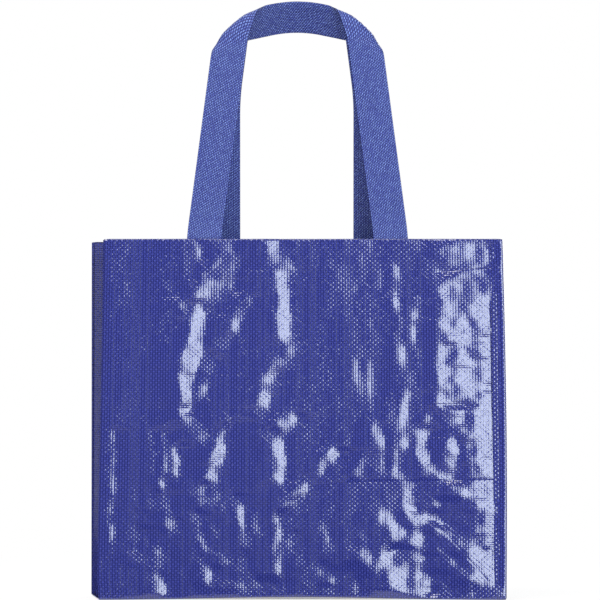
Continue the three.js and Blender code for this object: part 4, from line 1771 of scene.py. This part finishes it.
    def black_cards(self) -> None:
        """Black cards out of the camera's sight, which keep the film's colour deep where it mirrors them.

        One stands behind the left edge and one behind the back panel. The others lie on the floor all round. Only
        reflections see them: they cast no shadow and take no light away.
        """
        material = new_material("black_card")
        black = add_node(material.node_tree, "BsdfDiffuse", color=srgb(self.card_black))
        add_node(material.node_tree, "OutputMaterial", surface=black)
        upright = [(-1500.0, 900.0, 0.5), (-330.0, 1300.0, 0.5), (-330.0, 1300.0, 1300.0), (-1500.0, 900.0, 1300.0)]
        beside = [(-1800.0, -110.0, 0.5), (-236.0, -110.0, 0.5), (-236.0, 1300.0, 0.5), (-1800.0, 1300.0, 0.5)]
        front = [(-1800.0, -2400.0, 0.5), (1800.0, -2400.0, 0.5), (1800.0, -110.0, 0.5), (-1800.0, -110.0, 0.5)]
        rear = [(-1800.0, 1350.0, 0.5), (280.0, 1350.0, 0.5), (280.0, 1350.0, 1900.0), (-1800.0, 1350.0, 1900.0)]
        right = [(236.0, -110.0, 0.5), (1800.0, -110.0, 0.5), (1800.0, 110.0, 0.5), (236.0, 110.0, 0.5)]
        back = [(-1800.0, 110.0, 0.6), (1800.0, 110.0, 0.6), (1800.0, 2400.0, 0.6), (-1800.0, 2400.0, 0.6)]
        cards = {
            "upright_card": upright,
            "side_card": beside,
            "front_card": front,
            "rear_card": rear,
            "right_card": right,
            "back_card": back,
        }
        for name, corners in cards.items():
            card = self.board(name, corners, material)
            card.visible_camera = card.visible_diffuse = card.visible_shadow = False

    def build(self) -> None:
        """Sets up the whole studio."""
        self.camera()
        self.lamps()
        self.world()
        self.floor()
        self.black_cards()
        bpy.context.scene.view_settings.view_transform = "Standard"


def seam_rows(shape: BagShape, handles: list[Handle]) -> list[tuple[np.ndarray, np.ndarray]]:
    """Lines of stitching: one along each hem and a box with a cross on each sewn end of a handle.

    Args:
        shape: The bag.
        handles: Both handles.

    Returns:
        Points along each line and the direction out of the surface there.
    """
    hem_reach, hem_points, above_edge, line_points = 206.0, 180, 4.0, 24
    rows = []
    for wall in Wall:
        x = shape.centre(wall) + np.linspace(-hem_reach, hem_reach, hem_points)
        z = np.full_like(x, shape.height - shape.hem_depth + above_edge)
        depth = shape.layer_step + shape.sheet / 2
        y = wall.value * (shape.half_depth(z) + shape.stand_out(wall, x, z) - depth)
        normal = np.tile([0.0, -wall.value, 0.0], (len(x), 1))
        rows.append((np.stack([x, y, z], axis=-1), normal))
    for handle in handles:
        points, flat = handle.surface()
        box_half, low, high = 14.0, 5.0, 29.0
        along = flat[:, 0, 1]
        across = flat[0, :, 0]
        for end in (-1, 1):
            tip = end * along[-1]
            corners = [(-box_half, low), (box_half, low), (box_half, high), (-box_half, high)]
            lines = [(corners[i], corners[(i + 1) % 4]) for i in range(4)]
            lines += [(corners[0], corners[2]), (corners[1], corners[3])]
            for (w0, l0), (w1, l1) in lines:
                share = np.linspace(0, 1, line_points)
                w = w0 + (w1 - w0) * share
                s = tip - end * (l0 + (l1 - l0) * share)
                row = np.interp(s, along, np.arange(len(along)))
                column = np.interp(w, across, np.arange(len(across)))
                i, j = np.minimum(row.astype(int), len(along) - 2), np.minimum(column.astype(int), len(across) - 2)
                a, b = (row - i)[:, None], (column - j)[:, None]
                spot = (
                    points[i, j] * (1 - a) * (1 - b)
                    + points[i + 1, j] * a * (1 - b)
                    + points[i, j + 1] * (1 - a) * b
                    + points[i + 1, j + 1] * a * b
                )
                normal = np.tile([0.0, -handle.wall.value, 0.0], (len(spot), 1))
                rows.append((spot + normal * (handle.thickness / 2), normal))
    return rows


def main() -> None:
    """Builds the bag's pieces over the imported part, then the studio."""
    logging.basicConfig(level=logging.INFO, format="%(name)s: %(message)s")
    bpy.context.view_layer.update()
    shape = BagShape()
    film = LaminateFinish().build()
    creased_film = LaminateFinish("creased_laminated_fabric", lines=FRONT_LINES).build()
    tape = TapeFinish().build()
    webbing = WebbingFinish().build()
    thread = ThreadFinish().build()
    BodyPanel(shape, [creased_film, tape]).build()
    for side in Side:
        Gusset(shape, side, [film, tape]).build()
    handles = [
        Handle(
            shape, "front_handle", Wall.FRONT, webbing, leg_spacing=209.0, middle=2.0, top=667.0, lean=-0.052
        ),
        Handle(
            shape, "back_handle", Wall.BACK, webbing, leg_spacing=166.0, middle=1.2, top=672.0, lean=-0.0875
        ),
    ]
    for handle in handles:
        handle.build()
    Stitching("stitching", thread).build(seam_rows(shape, handles))
    Studio().build()


if __name__ == "__main__":
    main()
